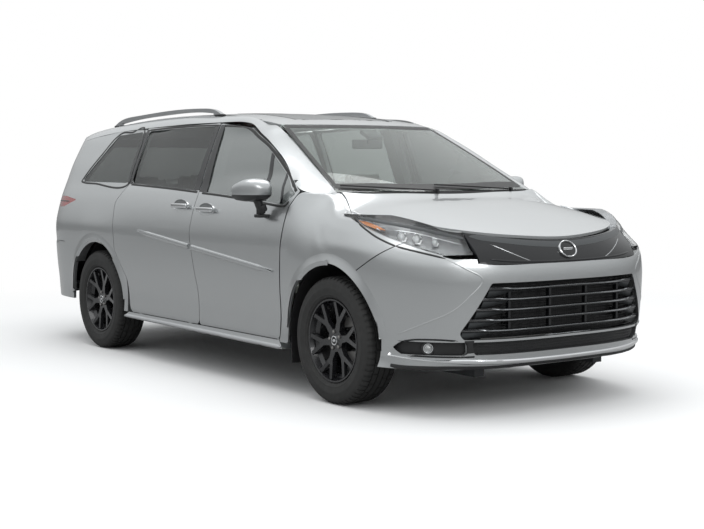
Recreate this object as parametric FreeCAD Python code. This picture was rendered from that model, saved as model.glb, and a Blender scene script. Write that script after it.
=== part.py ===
import FreeCAD, Part
import math
import os

V = FreeCAD.Vector

# A seven-seat family van in millimetres: +X forward, +Y left, +Z up.
# The origin is on the ground, midway along the body and on its centre plane.
# A station pair is (where, value); a smooth curve goes through the stations of each table.

# Overall sizes
LENGTH = 5175.0
WIDTH = 1994.0
WHEELBASE = 3061.0
FRONT_AXLE_X = 1617.0
TRACK = 1710.0
TYRE_DIAMETER = 739.0
TYRE_WIDTH = 235.0
RIM_DIAMETER = 457.0
RIM_WIDTH = 178.0
ARCH_RADIUS = 440.0
SILL_BOTTOM = 266.0
DOOR_BOTTOM = 322.0
PANEL_GAP = 5.0
FIT = 0.3

# Wall thicknesses
DOOR_WALL = 75.0
FRAME_WALL = 45.0
COVER_WALL = 20.0
ROOF_WALL = 34.0
HOOD_WALL = 16.0
GLASS_WALL = 5.0
GLASS_INSET = 4.0

HALF_LENGTH = LENGTH / 2
HALF_WIDTH = WIDTH / 2
REAR_AXLE_X = FRONT_AXLE_X - WHEELBASE
WHEEL_Y = TRACK / 2
WHEEL_Z = TYRE_DIAMETER / 2
TYRE_R = TYRE_DIAMETER / 2
RIM_R = RIM_DIAMETER / 2

# Body side, seen in a cross section: how far it lies inside the half width at each height
DOOR_SECTION = ((266, 12), (330, 29), (450, 32), (600, 19), (750, 9), (900, 7), (1000, 17), (1100, 39),
                (1190, 68), (1250, 94))
FENDER_SECTION = ((266, 12), (330, 29), (450, 32), (600, 19), (750, 9), (900, 12), (1000, 42), (1050, 67),
                  (1100, 102), (1140, 135), (1200, 180), (1250, 215))
BELT_TOP = 1250.0
TUMBLEHOME = 146.0
TUMBLEHOME_HEIGHT = 386.0
EDGE_DROP = 96.0
ROOF_ROLL = ((0, 0), (30, 18), (58, 62), (72, 122))
CABIN_TAPER = ((-1400, 0), (0, 0), (400, 12), (800, 20), (1100, 25), (1400, 45))

# Roof centre line
ROOF_LINE = ((-2300, 1640), (-2000, 1680), (-1500, 1722), (-900, 1748), (-400, 1752), (0, 1737),
             (250, 1713), (450, 1684), (650, 1643))
ROOF_CROWN = ((0, 0), (220, 3), (430, 10), (600, 21), (640, 24))
DITCH_Y = 640.0

# Nose and tail: how far each height lies inside the end of the body
NOSE_SETBACK = ((266, 75), (285, 57), (350, 27), (450, 7), (600, 0), (750, 2), (850, 22), (970, 87),
                (1060, 150), (1150, 220))
TAIL_SETBACK = ((266, 80), (345, 43), (450, 8), (600, 0), (740, 5), (790, 28), (850, 33), (1000, 43),
                (1140, 58), (1216, 68), (1413, 128), (1607, 238), (1680, 290))
NOSE_ROUND = 937.0
TAIL_ROUND = 837.0
NOSE_POWER = ((266, 3.0), (850, 3.0), (1000, 2.5), (1150, 2.4))
TAIL_POWER = 3.6

# Hood
HOOD_LINE = ((1400, 1236), (1531, 1216), (1600, 1190), (1800, 1152), (2000, 1110), (2200, 1062), (2400, 1005),
             (2500, 972), (2560, 948))
HOOD_DROP = ((1400, 16), (1470, 22), (1544, 82), (1633, 84), (1857, 66), (2096, 48), (2400, 30), (2560, 25))
HOOD_EDGE = ((1450, 770), (1544, 780), (1633, 817), (1857, 790), (2096, 733), (2311, 604), (2412, 444),
             (2471, 243), (2500, 0))
HOOD_REAR_CENTRE_X = 1580.0

# Windscreen
SCREEN_BASE = (1531.0, 1216.0)
SCREEN_TOP = (650.0, 1643.0)
SCREEN_BOW = 2.3e-4
SCREEN_BULGE = 14.0
SCREEN_BASE_HALF = 762.0
SCREEN_TOP_HALF = 617.0


def through(table, u):
    """The value at u on a smooth curve through the stations of a table."""
    n = len(table)
    if u <= table[0][0]:
        (u0, v0), (u1, v1) = table[0], table[1]
        return v0 + (u - u0) * (v1 - v0) / (u1 - u0)
    if u >= table[-1][0]:
        (u0, v0), (u1, v1) = table[-2], table[-1]
        return v1 + (u - u1) * (v1 - v0) / (u1 - u0)
    i = max(k for k in range(n - 1) if table[k][0] <= u)
    u0, v0 = table[i]
    u1, v1 = table[i + 1]
    slope = (v1 - v0) / (u1 - u0)
    before = (v0 - table[i - 1][1]) / (u0 - table[i - 1][0]) if i > 0 else slope
    after = (table[i + 2][1] - v1) / (table[i + 2][0] - u1) if i + 2 < n else slope
    d0 = 0.0 if slope * before <= 0 else 2 * slope * before / (slope + before)
    d1 = 0.0 if slope * after <= 0 else 2 * slope * after / (slope + after)
    h = u1 - u0
    t = (u - u0) / h
    return (v0 * (1 + 2 * t) * (1 - t) ** 2 + d0 * h * t * (1 - t) ** 2
            + v1 * t * t * (3 - 2 * t) + d1 * h * t * t * (t - 1))


def ease(t):
    t = min(max(t, 0.0), 1.0)
    return t * t * (3 - 2 * t)


def roof_z(x):
    return through(ROOF_LINE, x)


def crown(y):
    return through(ROOF_CROWN, abs(y))


def wall_y(x, z, rolled=True):
    """Half width of the body side at a station and a height, sill to roof edge."""
    if z <= BELT_TOP:
        door = through(DOOR_SECTION, z)
        fender = through(FENDER_SECTION, z)
        share = ease((x - 1150.0) / 350.0)
        haunch = 14.0 * math.exp(-((x + 1500.0) / 420.0) ** 2 - ((z - 900.0) / 120.0) ** 2)
        return HALF_WIDTH - door * (1 - share) - fender * share + haunch
    belt = HALF_WIDTH - DOOR_SECTION[-1][1] - through(CABIN_TAPER, x) * ease((z - BELT_TOP) / 60.0)
    if x > 1150.0:
        belt -= (FENDER_SECTION[-1][1] - DOOR_SECTION[-1][1]) * ease((x - 1150.0) / 350.0) * 0.35
    top = roof_z(min(x, 450.0))
    edge = top - EDGE_DROP
    rise = min(z, edge) - BELT_TOP
    y = belt - TUMBLEHOME * (max(rise, 0.0) / TUMBLEHOME_HEIGHT) ** 1.15
    if z > edge and rolled:
        y -= through(ROOF_ROLL, z - edge)
    return y


def nose_x(z):
    return HALF_LENGTH - through(NOSE_SETBACK, z)


def tail_x(z):
    return -HALF_LENGTH + through(TAIL_SETBACK, z)


ROUND_STEPS = (90, 84, 76, 66, 56, 45, 34, 24, 14, 6)


def end_loop(z, inset, start_x, front):
    """Points of the body outline at one height, from one side round the nose or the tail to the other."""
    if front:
        centre = HALF_LENGTH - NOSE_ROUND
        reach = nose_x(z) - inset - centre
        power = through(NOSE_POWER, z)
    else:
        centre = -HALF_LENGTH + TAIL_ROUND
        reach = tail_x(z) + inset - centre
        power = TAIL_POWER
    half = wall_y(centre, z) - inset
    side = []
    steps = max(1, int(abs(centre - start_x) / 160.0))
    for k in range(steps):
        x = start_x + (centre - start_x) * k / steps
        side.append((x, wall_y(x, z) - inset))
    for degrees in ROUND_STEPS:
        a = math.radians(degrees)
        side.append((centre + reach * max(math.cos(a), 0.0) ** (2 / power) * (degrees != 90),
                     half * math.sin(a) ** (2 / power)))
    points = [V(x, -y, z) for x, y in side]
    points.append(V(centre + reach, 0, z))
    points.extend(V(x, y, z) for x, y in reversed(side))
    return points


def curve(points):
    if len(points) == 2:
        return Part.makeLine(points[0], points[1])
    spline = Part.BSplineCurve()
    spline.interpolate(Points=points)
    return spline.toShape()


def ring(*runs):
    """A closed wire of smooth runs; each run starts where the one before it ends."""
    edges = []
    for i, run in enumerate(runs):
        edges.append(curve(run))
        nxt = runs[(i + 1) % len(runs)][0]
        if run[-1].distanceToPoint(nxt) > 1e-6:
            edges.append(Part.makeLine(run[-1], nxt))
    return Part.Wire(edges)


def loft(wires):
    return Part.makeLoft(wires, True, False)


def end_slab(levels, wall, start_x, front, skin=0.0):
    """A wall of one thickness, or a thickness for each height, that runs round the nose or the tail."""
    wires = []
    for z in levels:
        depth = wall(z) if callable(wall) else wall
        outer = end_loop(z, skin, start_x, front)
        inner = end_loop(z, skin + depth, start_x, front)
        wires.append(ring(outer, list(reversed(inner))))
    return loft(wires)


def side_slab(stations, heights, wall, skin=0.0, side=-1):
    """A body side from its cross sections; heights(x) gives the levels at a station."""
    wires = []
    for x in stations:
        levels = heights(x)
        outer = [V(x, side * (wall_y(x, z) - skin), z) for z in levels]
        inner = [V(x, side * (wall_y(x, z) - skin - wall(z)), z) for z in levels]
        wires.append(ring(outer, list(reversed(inner))))
    return loft(wires)


def place(plane, u, v, w):
    if plane == "side":
        return V(u, w, v)
    if plane == "plan":
        return V(u, v, w)
    return V(w, u, v)


def rounded_wire(points, plane, w):
    """A closed outline in a plane; a point's third value is its corner radius."""
    n = len(points)
    starts, ends, edges = [], [], []
    arcs = []
    for i in range(n):
        p = points[i]
        r = p[2] if len(p) > 2 else 0.0
        a, b = points[i - 1], points[(i + 1) % n]
        ax, ay = a[0] - p[0], a[1] - p[1]
        bx, by = b[0] - p[0], b[1] - p[1]
        la, lb = math.hypot(ax, ay), math.hypot(bx, by)
        ax, ay, bx, by = ax / la, ay / la, bx / lb, by / lb
        half = math.acos(max(-1.0, min(1.0, ax * bx + ay * by))) / 2
        cut = r / math.tan(half) if r else 0.0
        cut = min(cut, 0.48 * la, 0.48 * lb)
        r = cut * math.tan(half)
        starts.append((p[0] + ax * cut, p[1] + ay * cut))
        ends.append((p[0] + bx * cut, p[1] + by * cut))
        if cut:
            mx, my = ax + bx, ay + by
            m = math.hypot(mx, my)
            reach = r / math.sin(half) - r
            arcs.append((p[0] + mx / m * reach, p[1] + my / m * reach))
        else:
            arcs.append(None)
    for i in range(n):
        if arcs[i]:
            s, m, e = starts[i], arcs[i], ends[i]
            edges.append(Part.Arc(place(plane, s[0], s[1], w), place(plane, m[0], m[1], w),
                                  place(plane, e[0], e[1], w)).toShape())
        s, e = ends[i], starts[(i + 1) % n]
        if math.hypot(s[0] - e[0], s[1] - e[1]) > 1e-6:
            edges.append(Part.makeLine(place(plane, s[0], s[1], w), place(plane, e[0], e[1], w)))
    return Part.Wire(edges)


def prism(points, plane, low, high):
    """A straight block of an outline: side runs along Y, plan along Z, front along X."""
    face = Part.Face(rounded_wire(points, plane, low))
    along = {"side": V(0, high - low, 0), "plan": V(0, 0, high - low), "front": V(high - low, 0, 0)}[plane]
    return face.extrude(along)


def smooth_prism(runs, plane, low, high):
    wires = ring(*[[place(plane, p[0], p[1], low) for p in run] for run in runs])
    along = {"side": V(0, high - low, 0), "plan": V(0, 0, high - low), "front": V(high - low, 0, 0)}[plane]
    return Part.Face(wires).extrude(along)


def box(x0, x1, y0, y1, z0, z1):
    return Part.makeBox(x1 - x0, y1 - y0, z1 - z0, V(x0, y0, z0))


def tube(centre, axis, radius, length):
    return Part.makeCylinder(radius, length, centre, axis)


def rod(a, b, radius):
    return Part.makeCylinder(radius, a.distanceToPoint(b), a, b - a)


def mirror(shape):
    return shape.mirror(V(0, 0, 0), V(0, 1, 0))


def join(shapes):
    shapes = list(shapes)
    result = shapes[0]
    if len(shapes) > 1:
        result = result.multiFuse(shapes[1:])
    return result


def revolve(profile, centre, axis=V(0, 1, 0)):
    """Turn a closed (radius, along) outline about an axis along Y."""
    points = [V(r, a, 0) for r, a in profile]
    wire = Part.makePolygon(points + [points[0]])
    solid = Part.Face(wire).revolve(V(0, 0, 0), axis, 360)
    solid.translate(centre)
    return solid


def shifted(points, du, dv):
    return [(p[0] + du, p[1] + dv) + tuple(p[2:]) for p in points]


# Shut lines and windows, as side views in X and Z
HINGE_X = 1050.0
HINGE_Y = 950.0
FENDER_EDGE_GAP = 10.0
FRONT_EDGE = ((1083, DOOR_BOTTOM), (1123, 873), (1159, 1122), (1222, 1226))
PILLAR_LINE = ((1222, 1226), (1000, 1362), (763, 1494), (569, 1580), (376, 1646))
CENTRE_EDGE = ((38, 1663), (38, 1180), (10, 925), (93, 568), (100, DOOR_BOTTOM))
SLIDER_REAR = ((-1010, 1651), (-1010, 1250), (-1156, 1115), (-1117, 882))
ROCKER_LIP_Y = HALF_WIDTH - 12
FRONT_WINDOW = ((1192, 1204, 8), (1000, 1331, 60), (763, 1466, 300), (376, 1622, 300), (90, 1636, 30),
                (78, 1204, 30), (372, 1190, 100), (1097, 1140, 20))
SLIDER_WINDOW = ((8, 1640, 30), (-478, 1642, 900), (-965, 1628, 30), (-985, 1250, 30), (-853, 1246, 400), (20, 1209, 30))
QUARTER_WINDOW = ((-1060, 1626, 30), (-1440, 1606, 60), (-1815, 1275, 60), (-1800, 1256, 20), (-1040, 1252, 30))


def wall_depth(z):
    """Thickness of a door or side wall: full below the belt, thinner in the window frame."""
    return DOOR_WALL + (FRAME_WALL - DOOR_WALL) * ease((z - 1120.0) / 90.0)


def side_levels(x):
    top = roof_z(min(x, 450.0)) - 75.0
    low = (266, 300, 330, 390, 450, 600, 750, 850, 920, 1000, 1060, 1120, 1170, 1210, 1250, 1290, 1340, 1420, 1520)
    return list(low) + [top - 60, top - 30, top]


SIDE_STATIONS = (-1260, -1000, -650, -300, 0, 300, 600, 900, 1080, 1160, 1220, 1280, 1340)


def front_door_outline(gap):
    """Outline of the front door, drawn in by a gap on every side."""
    g = gap
    return [(FRONT_EDGE[0][0] - g, DOOR_BOTTOM + g, 30), (FRONT_EDGE[1][0] - g, FRONT_EDGE[1][1], 400),
            (FRONT_EDGE[2][0] - g, FRONT_EDGE[2][1], 100), (FRONT_EDGE[3][0] - g, FRONT_EDGE[3][1] - g, 8),
            (PILLAR_LINE[1][0], PILLAR_LINE[1][1] - g, 800), (PILLAR_LINE[2][0], PILLAR_LINE[2][1] - g, 800),
            (PILLAR_LINE[4][0], PILLAR_LINE[4][1] - g, 300),
            (CENTRE_EDGE[0][0] + g, CENTRE_EDGE[0][1] - g, 20), (CENTRE_EDGE[1][0] + g, CENTRE_EDGE[1][1], 200),
            (CENTRE_EDGE[2][0] + g, CENTRE_EDGE[2][1], 200), (CENTRE_EDGE[3][0] + g, CENTRE_EDGE[3][1], 200),
            (CENTRE_EDGE[4][0] + g, DOOR_BOTTOM + g, 30)]


def slider_outline(gap):
    g = gap
    rear = REAR_AXLE_X + ARCH_RADIUS
    return [(CENTRE_EDGE[0][0] - g, CENTRE_EDGE[0][1] - g, 20), (SLIDER_REAR[0][0] + g, SLIDER_REAR[0][1] - g, 20),
            (SLIDER_REAR[1][0] + g, SLIDER_REAR[1][1], 60), (SLIDER_REAR[2][0] + g, SLIDER_REAR[2][1], 60),
            (SLIDER_REAR[3][0] + g, SLIDER_REAR[3][1], 20), (REAR_AXLE_X + 330 + g, 760, 60),
            (rear + 60 + g, 560, 120), (rear + 95 + g, DOOR_BOTTOM + g, 60),
            (CENTRE_EDGE[4][0] - g, DOOR_BOTTOM + g, 30), (CENTRE_EDGE[3][0] - g, CENTRE_EDGE[3][1], 200),
            (CENTRE_EDGE[2][0] - g, CENTRE_EDGE[2][1], 200), (CENTRE_EDGE[1][0] - g, CENTRE_EDGE[1][1], 200)]


FAR = 1200.0
HALF_GAP = PANEL_GAP / 2


def right_prism(points):
    return prism(points, "side", -FAR, -300.0)


def glass_slab(stations, low, high):
    wires = []
    for x in stations:
        levels = [low + (high - low) * k / 8 for k in range(9)]
        outer = [V(x, -(wall_y(x, z, False) - GLASS_INSET), z) for z in levels]
        inner = [V(x, -(wall_y(x, z, False) - GLASS_INSET - GLASS_WALL), z) for z in levels]
        wires.append(ring(outer, list(reversed(inner))))
    return loft(wires)


def doors():
    """The hinged front door and the sliding side door with their glass, right side."""
    slab = side_slab(SIDE_STATIONS, side_levels, wall_depth)
    front = slab.common(right_prism(front_door_outline(HALF_GAP)))
    front = front.cut(right_prism(FRONT_WINDOW))
    slider = slab.common(right_prism(slider_outline(HALF_GAP))).cut(right_prism(SLIDER_WINDOW))
    sill = slab.common(right_prism([(FRONT_EDGE[0][0] - 5, DOOR_BOTTOM - HALF_GAP),
                                    (FRONT_EDGE[0][0] + 47, SILL_BOTTOM + 4),
                                    (REAR_AXLE_X + ARCH_RADIUS + 10, SILL_BOTTOM + 16),
                                    (REAR_AXLE_X + ARCH_RADIUS + 75, DOOR_BOTTOM - HALF_GAP)]))
    panes = glass_slab((-1000, -600, -200, 200, 600, 900, 1100, 1230), 1125, 1648)
    return front, slider, sill, panes.common(right_prism(FRONT_WINDOW)), panes.common(right_prism(SLIDER_WINDOW))


def screen_edge(x):
    """Side edge of the windscreen at a station: its height and half width."""
    share = (SCREEN_BASE[0] - 141 - x) / (SCREEN_BASE[0] - SCREEN_TOP[0] - 60)
    z = 1221.0 + 411.0 * share
    return z, SCREEN_BASE_HALF - (SCREEN_BASE_HALF - SCREEN_TOP_HALF) * share


RAIL_TOP_LINE = ((-2287, 1540), (-2100, 1566), (-1800, 1604), (-1452, 1634), (-933, 1655), (-400, 1667), (38, 1667),
                 (376, 1651), (569, 1585), (763, 1500), (1000, 1368), (1222, 1232), (1290, 1216), (1400, 1196))
RAIL_STATIONS = (-2235, -2170, -2080, -1800, -1452, -933, -400, 38, 376, 480, 569, 640, 763, 1000, 1222, 1310, 1400)


def roof_side_rail():
    """The rail from the foot of the windscreen pillar over the doors to the tail, right side."""
    wires = []
    for x in RAIL_STATIONS:
        low = through(RAIL_TOP_LINE, x)
        if x > 569:
            top, inner = screen_edge(x)
            blend = 0.0
        else:
            blend = ease((569.0 - x) / 200.0)
            z1, y1 = screen_edge(569)
            top = z1 * (1 - blend) + (roof_z(x) - crown(DITCH_Y)) * blend
            inner = y1 * (1 - blend) + (DITCH_Y + FIT) * blend
        outer = tail_wall_y(x, low)
        mid_z = low + 0.62 * (top - low)
        mid_y = outer - 0.36 * (outer - inner)
        depth = FRAME_WALL - 8
        run = [V(x, -outer, low), V(x, -mid_y, mid_z), V(x, -inner, top)]
        back = [V(x, -inner, top - depth), V(x, -(outer - depth - 4), low)]
        wires.append(ring(run, back))
    return loft(wires)


def tail_wall_y(x, z):
    """Half width at a station behind the round of the tail, where the plan closes in."""
    centre = -HALF_LENGTH + TAIL_ROUND
    if x >= centre:
        return wall_y(x, z)
    share = min((centre - x) / (centre - tail_x(z)), 0.985)
    return wall_y(centre, z) * (1 - share ** TAIL_POWER) ** (1 / TAIL_POWER)


TAIL_LEVELS = (DOOR_BOTTOM - PANEL_GAP / 2 + FIT, 390, 450, 600, 740, 790, 850, 920, 1000, 1060, 1120, 1170, 1216, 1270, 1340, 1420, 1520, 1580,
               1640)
TAILGATE_OUTLINE = ((-690, 795, 60), (690, 795, 60), (720, 1040, 60), (735, 1230, 60), (640, 1500, 200), (560, 1640, 5),
                    (-560, 1640, 5), (-640, 1500, 200), (-735, 1230, 60), (-720, 1040, 60))
REAR_WINDOW = ((-640, 1228, 60), (640, 1228, 60), (560, 1530, 80), (-560, 1530, 80))
TAILGATE_FRONT_X = -2296.0
BUMPER_TOP = 788.0
LAMP_TAIL = ((-1830, 1118, 4), (-2050, 1060, 60), (-2700, 1046), (-2700, 1140), (-2050, 1142, 60))


def tail_depth(z):
    return DOOR_WALL + (FRAME_WALL - DOOR_WALL) * ease((z - 1120.0) / 90.0)


REAR_BUMPER_LEVELS = (345, 390, 450, 520, 600, 680, 740, 786)
TAILGATE_GAP = 8.0
TAILGATE_TOP = 1598.0


def tail():
    """Rear quarter, tailgate with its spoiler, rear bumper, lamps and rear glass, round the tail."""
    wall = end_slab(TAIL_LEVELS, tail_depth, -950.0, False)
    panes = end_slab([1225 + 45 * k for k in range(10)], GLASS_WALL, -950.0, False, GLASS_INSET)
    lenses = end_slab((1030, 1060, 1090, 1120, 1150), 60.0, -1700.0, False)
    gate_zone = prism(TAILGATE_OUTLINE, "front", -2800, -2100)
    gate_gap = prism(grown(TAILGATE_OUTLINE, TAILGATE_GAP), "front", -2800, -2100)
    lamp_zone = right_prism(LAMP_TAIL)
    lamp_hole = join([right_prism(grown(LAMP_TAIL, FIT)), mirror(right_prism(grown(LAMP_TAIL, FIT)))])
    roof_cut = right_prism([(p[0], p[1] - FIT) for p in RAIL_TOP_LINE[:6]] + [(-900, 1800), (-2900, 1800), (-2900, 1500)])
    gate = wall.common(gate_zone).cut(prism(REAR_WINDOW, "front", -2800, -2100))
    gate = gate.cut(lamp_hole).cut(box(-2700, -2200, -FAR, FAR, TAILGATE_TOP, 1700))
    gate = join([gate, spoiler()])
    quarter = wall.common(box(-2700, 0, -FAR, -10, 0, 2000)).cut(gate_gap)
    quarter = quarter.cut(roof_cut).cut(right_prism(slider_outline(-HALF_GAP)))
    quarter = quarter.common(right_prism([(-2700, BUMPER_TOP + HALF_GAP), (-1990, BUMPER_TOP + HALF_GAP), (-1850, 640),
                                          (-1700, 640), (-1700, 300), (-500, 300), (-500, 1900), (-2700, 1900)]))
    quarter = quarter.cut(right_prism(QUARTER_WINDOW)).cut(arch_cylinder(REAR_AXLE_X)).cut(lamp_hole)
    lamp = lenses.common(lamp_zone)
    side_lamp = lamp.cut(gate_gap)
    gate_lamp = lamp.common(gate_zone)
    side_pane = panes.common(right_prism(QUARTER_WINDOW))
    gate_pane = panes.common(prism(REAR_WINDOW, "front", -2800, -2100))
    return quarter, gate, side_lamp, gate_lamp, side_pane, gate_pane


def rear_bumper():
    """The rear bumper cover with its top step under the tailgate."""
    cover = end_slab(REAR_BUMPER_LEVELS, COVER_WALL, -1700.0, False)
    side = prism([(-2700, 300), (-1700, 300), (-1700, 636), (-1846, 636), (-1986, BUMPER_TOP - HALF_GAP),
                  (-2700, BUMPER_TOP - HALF_GAP)], "side", -FAR, 0)
    arch = arch_cylinder(REAR_AXLE_X)
    half = cover.common(box(-2700, 0, -FAR, 0, 0, 1000)).common(side).cut(arch)
    step = box(-2562, -2400 - FIT, -700, 700, 768, BUMPER_TOP - HALF_GAP)
    return join([half, mirror(half), step])


def grown(points, by):
    """An outline about its middle, moved out by a margin."""
    cu = sum(p[0] for p in points) / len(points)
    cv = sum(p[1] for p in points) / len(points)
    out = []
    for p in points:
        du = by if p[0] > cu else -by
        dv = by if p[1] > cv else -by
        out.append((p[0] + du, p[1] + dv) + tuple(p[2:]))
    return out


def arch_cylinder(x, radius=ARCH_RADIUS):
    return tube(V(x, -FAR, WHEEL_Z + 8), V(0, 1, 0), radius, FAR - 300.0)


NODES = {}


def both(name, shape):
    NODES[name + "_right"] = shape
    NODES[name + "_left"] = mirror(shape)


def nose_wall_y(x, z):
    """Half width at a station ahead of the front wheels, where the plan closes in round the nose."""
    centre = HALF_LENGTH - NOSE_ROUND
    if x <= centre:
        return wall_y(x, z)
    share = min((x - centre) / (nose_x(z) - centre), 0.985)
    power = through(NOSE_POWER, z)
    return wall_y(centre, z) * (1 - share ** power) ** (1 / power)


def hood_z(x, y):
    return through(HOOD_LINE, x) - through(HOOD_DROP, x) * (abs(y) / 800.0) ** 4


# Front wing: the inner top edge beside the hood, and the line where the bumper cover begins
WING_INSET = ((1080, 18), (1222, 22), (1350, 26), (1430, 40), (1544, 88), (1633, 92), (1857, 118), (2096, 96), (2180, 92))
WING_TOP = ((1080, 1118), (1166, 1140), (1222, 1206), (1290, 1212), (1350, 1210), (1430, 1200), (1500, 1158),
            (1544, 1126), (1633, 1093), (1857, 1079), (2096, 1053), (2180, 1042))
WING_STATIONS = (1085, 1130, 1166, 1195, 1222, 1290, 1360, 1430, 1470, 1510, 1550, 1633, 1740, 1857, 1980, 2096, 2180)
WING_WALL = 10.0
BUMPER_LINE = ((2190, 965), (2147, 942), (1849, 769))
LAMP_LOW_LINE = ((1650, 1098), (1700, 1090), (2380, 890), (2480, 896), (2640, 925))


def wing():
    """The front wing, from the door to the headlamp, in cross sections along the car, right side."""
    wires = []
    for x in WING_STATIONS:
        top = through(WING_TOP, x)
        inset = through(WING_INSET, x)
        levels = [top - d for d in (14, 36, 70, 115, 170)] + [top + (266 - top) * k / 8 for k in range(2, 9)]
        levels = sorted(set(levels), reverse=True)
        crest = nose_wall_y(x, top - 14)
        outer = [V(x, -(crest - inset), top), V(x, -(crest - 0.34 * inset), top + 1)]
        outer += [V(x, -nose_wall_y(x, z), z) for z in levels]
        inner = [V(x, -(crest - inset), top - WING_WALL), V(x, -(crest - 0.34 * inset - 3), top + 1 - WING_WALL)]
        inner += [V(x, -(nose_wall_y(x, z) - WING_WALL), z - 2) for z in levels[:-1]]
        inner.append(V(x, -(nose_wall_y(x, 266) - WING_WALL), 266))
        wires.append(ring(outer, list(reversed(inner))))
    panel = loft(wires)
    gap = FENDER_EDGE_GAP - HALF_GAP
    zone = right_prism([(FRONT_EDGE[0][0] + gap, DOOR_BOTTOM - 12, 10), (FRONT_EDGE[1][0] + gap, FRONT_EDGE[1][1], 400),
                        (FRONT_EDGE[2][0] + gap, FRONT_EDGE[2][1], 100), (FRONT_EDGE[3][0] + gap, FRONT_EDGE[3][1] + 3, 4),
                        (1290, 1400), (2700, 1400), (BUMPER_LINE[0][0] - 3, BUMPER_LINE[0][1]),
                        (BUMPER_LINE[1][0] - 3, BUMPER_LINE[1][1] + 2), (BUMPER_LINE[2][0] - 3, BUMPER_LINE[2][1] + 2),
                        (1700, 500), (1160, DOOR_BOTTOM - 12)])
    panel = panel.common(zone).cut(arch_cylinder(FRONT_AXLE_X))
    return panel.cut(right_prism(lamp_outline(HALF_GAP / 2))).cut(hood_room())


def lamp_outline(grow):
    low = [(x, z - grow, 0) for x, z in LAMP_LOW_LINE]
    return [(LAMP_LOW_LINE[0][0] - grow, LAMP_LOW_LINE[0][1])] + low[1:] + [(2640, 1300), (1640 - grow, 1300)]


NOSE_LEVELS = (270, 300, 350, 400, 450, 520, 600, 680, 750, 800, 850, 910, 970, 1010, 1060, 1100)
GRILLE_OPENING = ((-547, 742, 20), (547, 742, 20), (704, 470, 40), (680, 436, 20), (-680, 436, 20), (-704, 470, 40))
LOWER_INTAKE = ((-640, 424, 10), (640, 424, 10), (620, 352, 20), (-620, 352, 20))
FOG_RECESS = ((660, 424, 10), (960, 424, 10), (940, 352, 20), (650, 352, 20))
BAND_LOW = ((-760, 884), (-600, 846), (-300, 837), (0, 836), (300, 837), (600, 846), (760, 884))
HOOD_FRONT_TOP = ((-733, 1052), (-604, 1018), (-444, 994), (-243, 976), (0, 970), (243, 976), (444, 994), (604, 1018),
                  (733, 1052))


HOOD_HALF_GAP = 2.9
HOOD_FRONT_SET = 8.0
HOOD_FRONT_ROOM = 4.0


def hood_plan(gap, reach=0.0):
    """Plan outline of the hood: round the nose, then along the foot of the windscreen."""
    right = [(x - gap * (k > 2) - reach * (k > 4), -(y - gap)) for k, (x, y) in enumerate(HOOD_EDGE[:-1])]
    nose = (HOOD_EDGE[-1][0] - gap - reach, 0)
    left = [(x, -y) for x, y in reversed(right)]
    rear_x, rear_y = right[0]
    rear = [(rear_x, -rear_y)]
    for share in (0.66, 0.33, 0.0, -0.33, -0.66):
        bow = 1 - share * share
        rear.append((rear_x + (HOOD_REAR_CENTRE_X - rear_x) * bow, -rear_y * share))
    rear.append((rear_x, rear_y))
    return [right + [nose] + left, rear]


HOOD_STATIONS = (1425, 1470, 1544, 1633, 1750, 1857, 2000, 2096, 2200, 2311, 2412, 2500, 2580)


def hood_layer(low, high):
    wires = []
    for x in HOOD_STATIONS:
        ys = (-860, -760, -600, -400, -200, 0, 200, 400, 600, 760, 860)
        top = [V(x, y, hood_z(x, y) + high) for y in ys]
        base = [V(x, y, hood_z(x, y) + low) for y in reversed(ys)]
        wires.append(ring(top, base))
    return loft(wires)


def hood():
    panel = hood_layer(-HOOD_WALL, 0)
    return panel.common(smooth_prism(hood_plan(HOOD_HALF_GAP, HOOD_FRONT_SET), "plan", 900, 1400))


def hood_room():
    """The space round the hood that fixed panels keep out of."""
    return smooth_prism(hood_plan(-HOOD_HALF_GAP, HOOD_FRONT_ROOM), "plan", 900, 1400)


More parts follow.
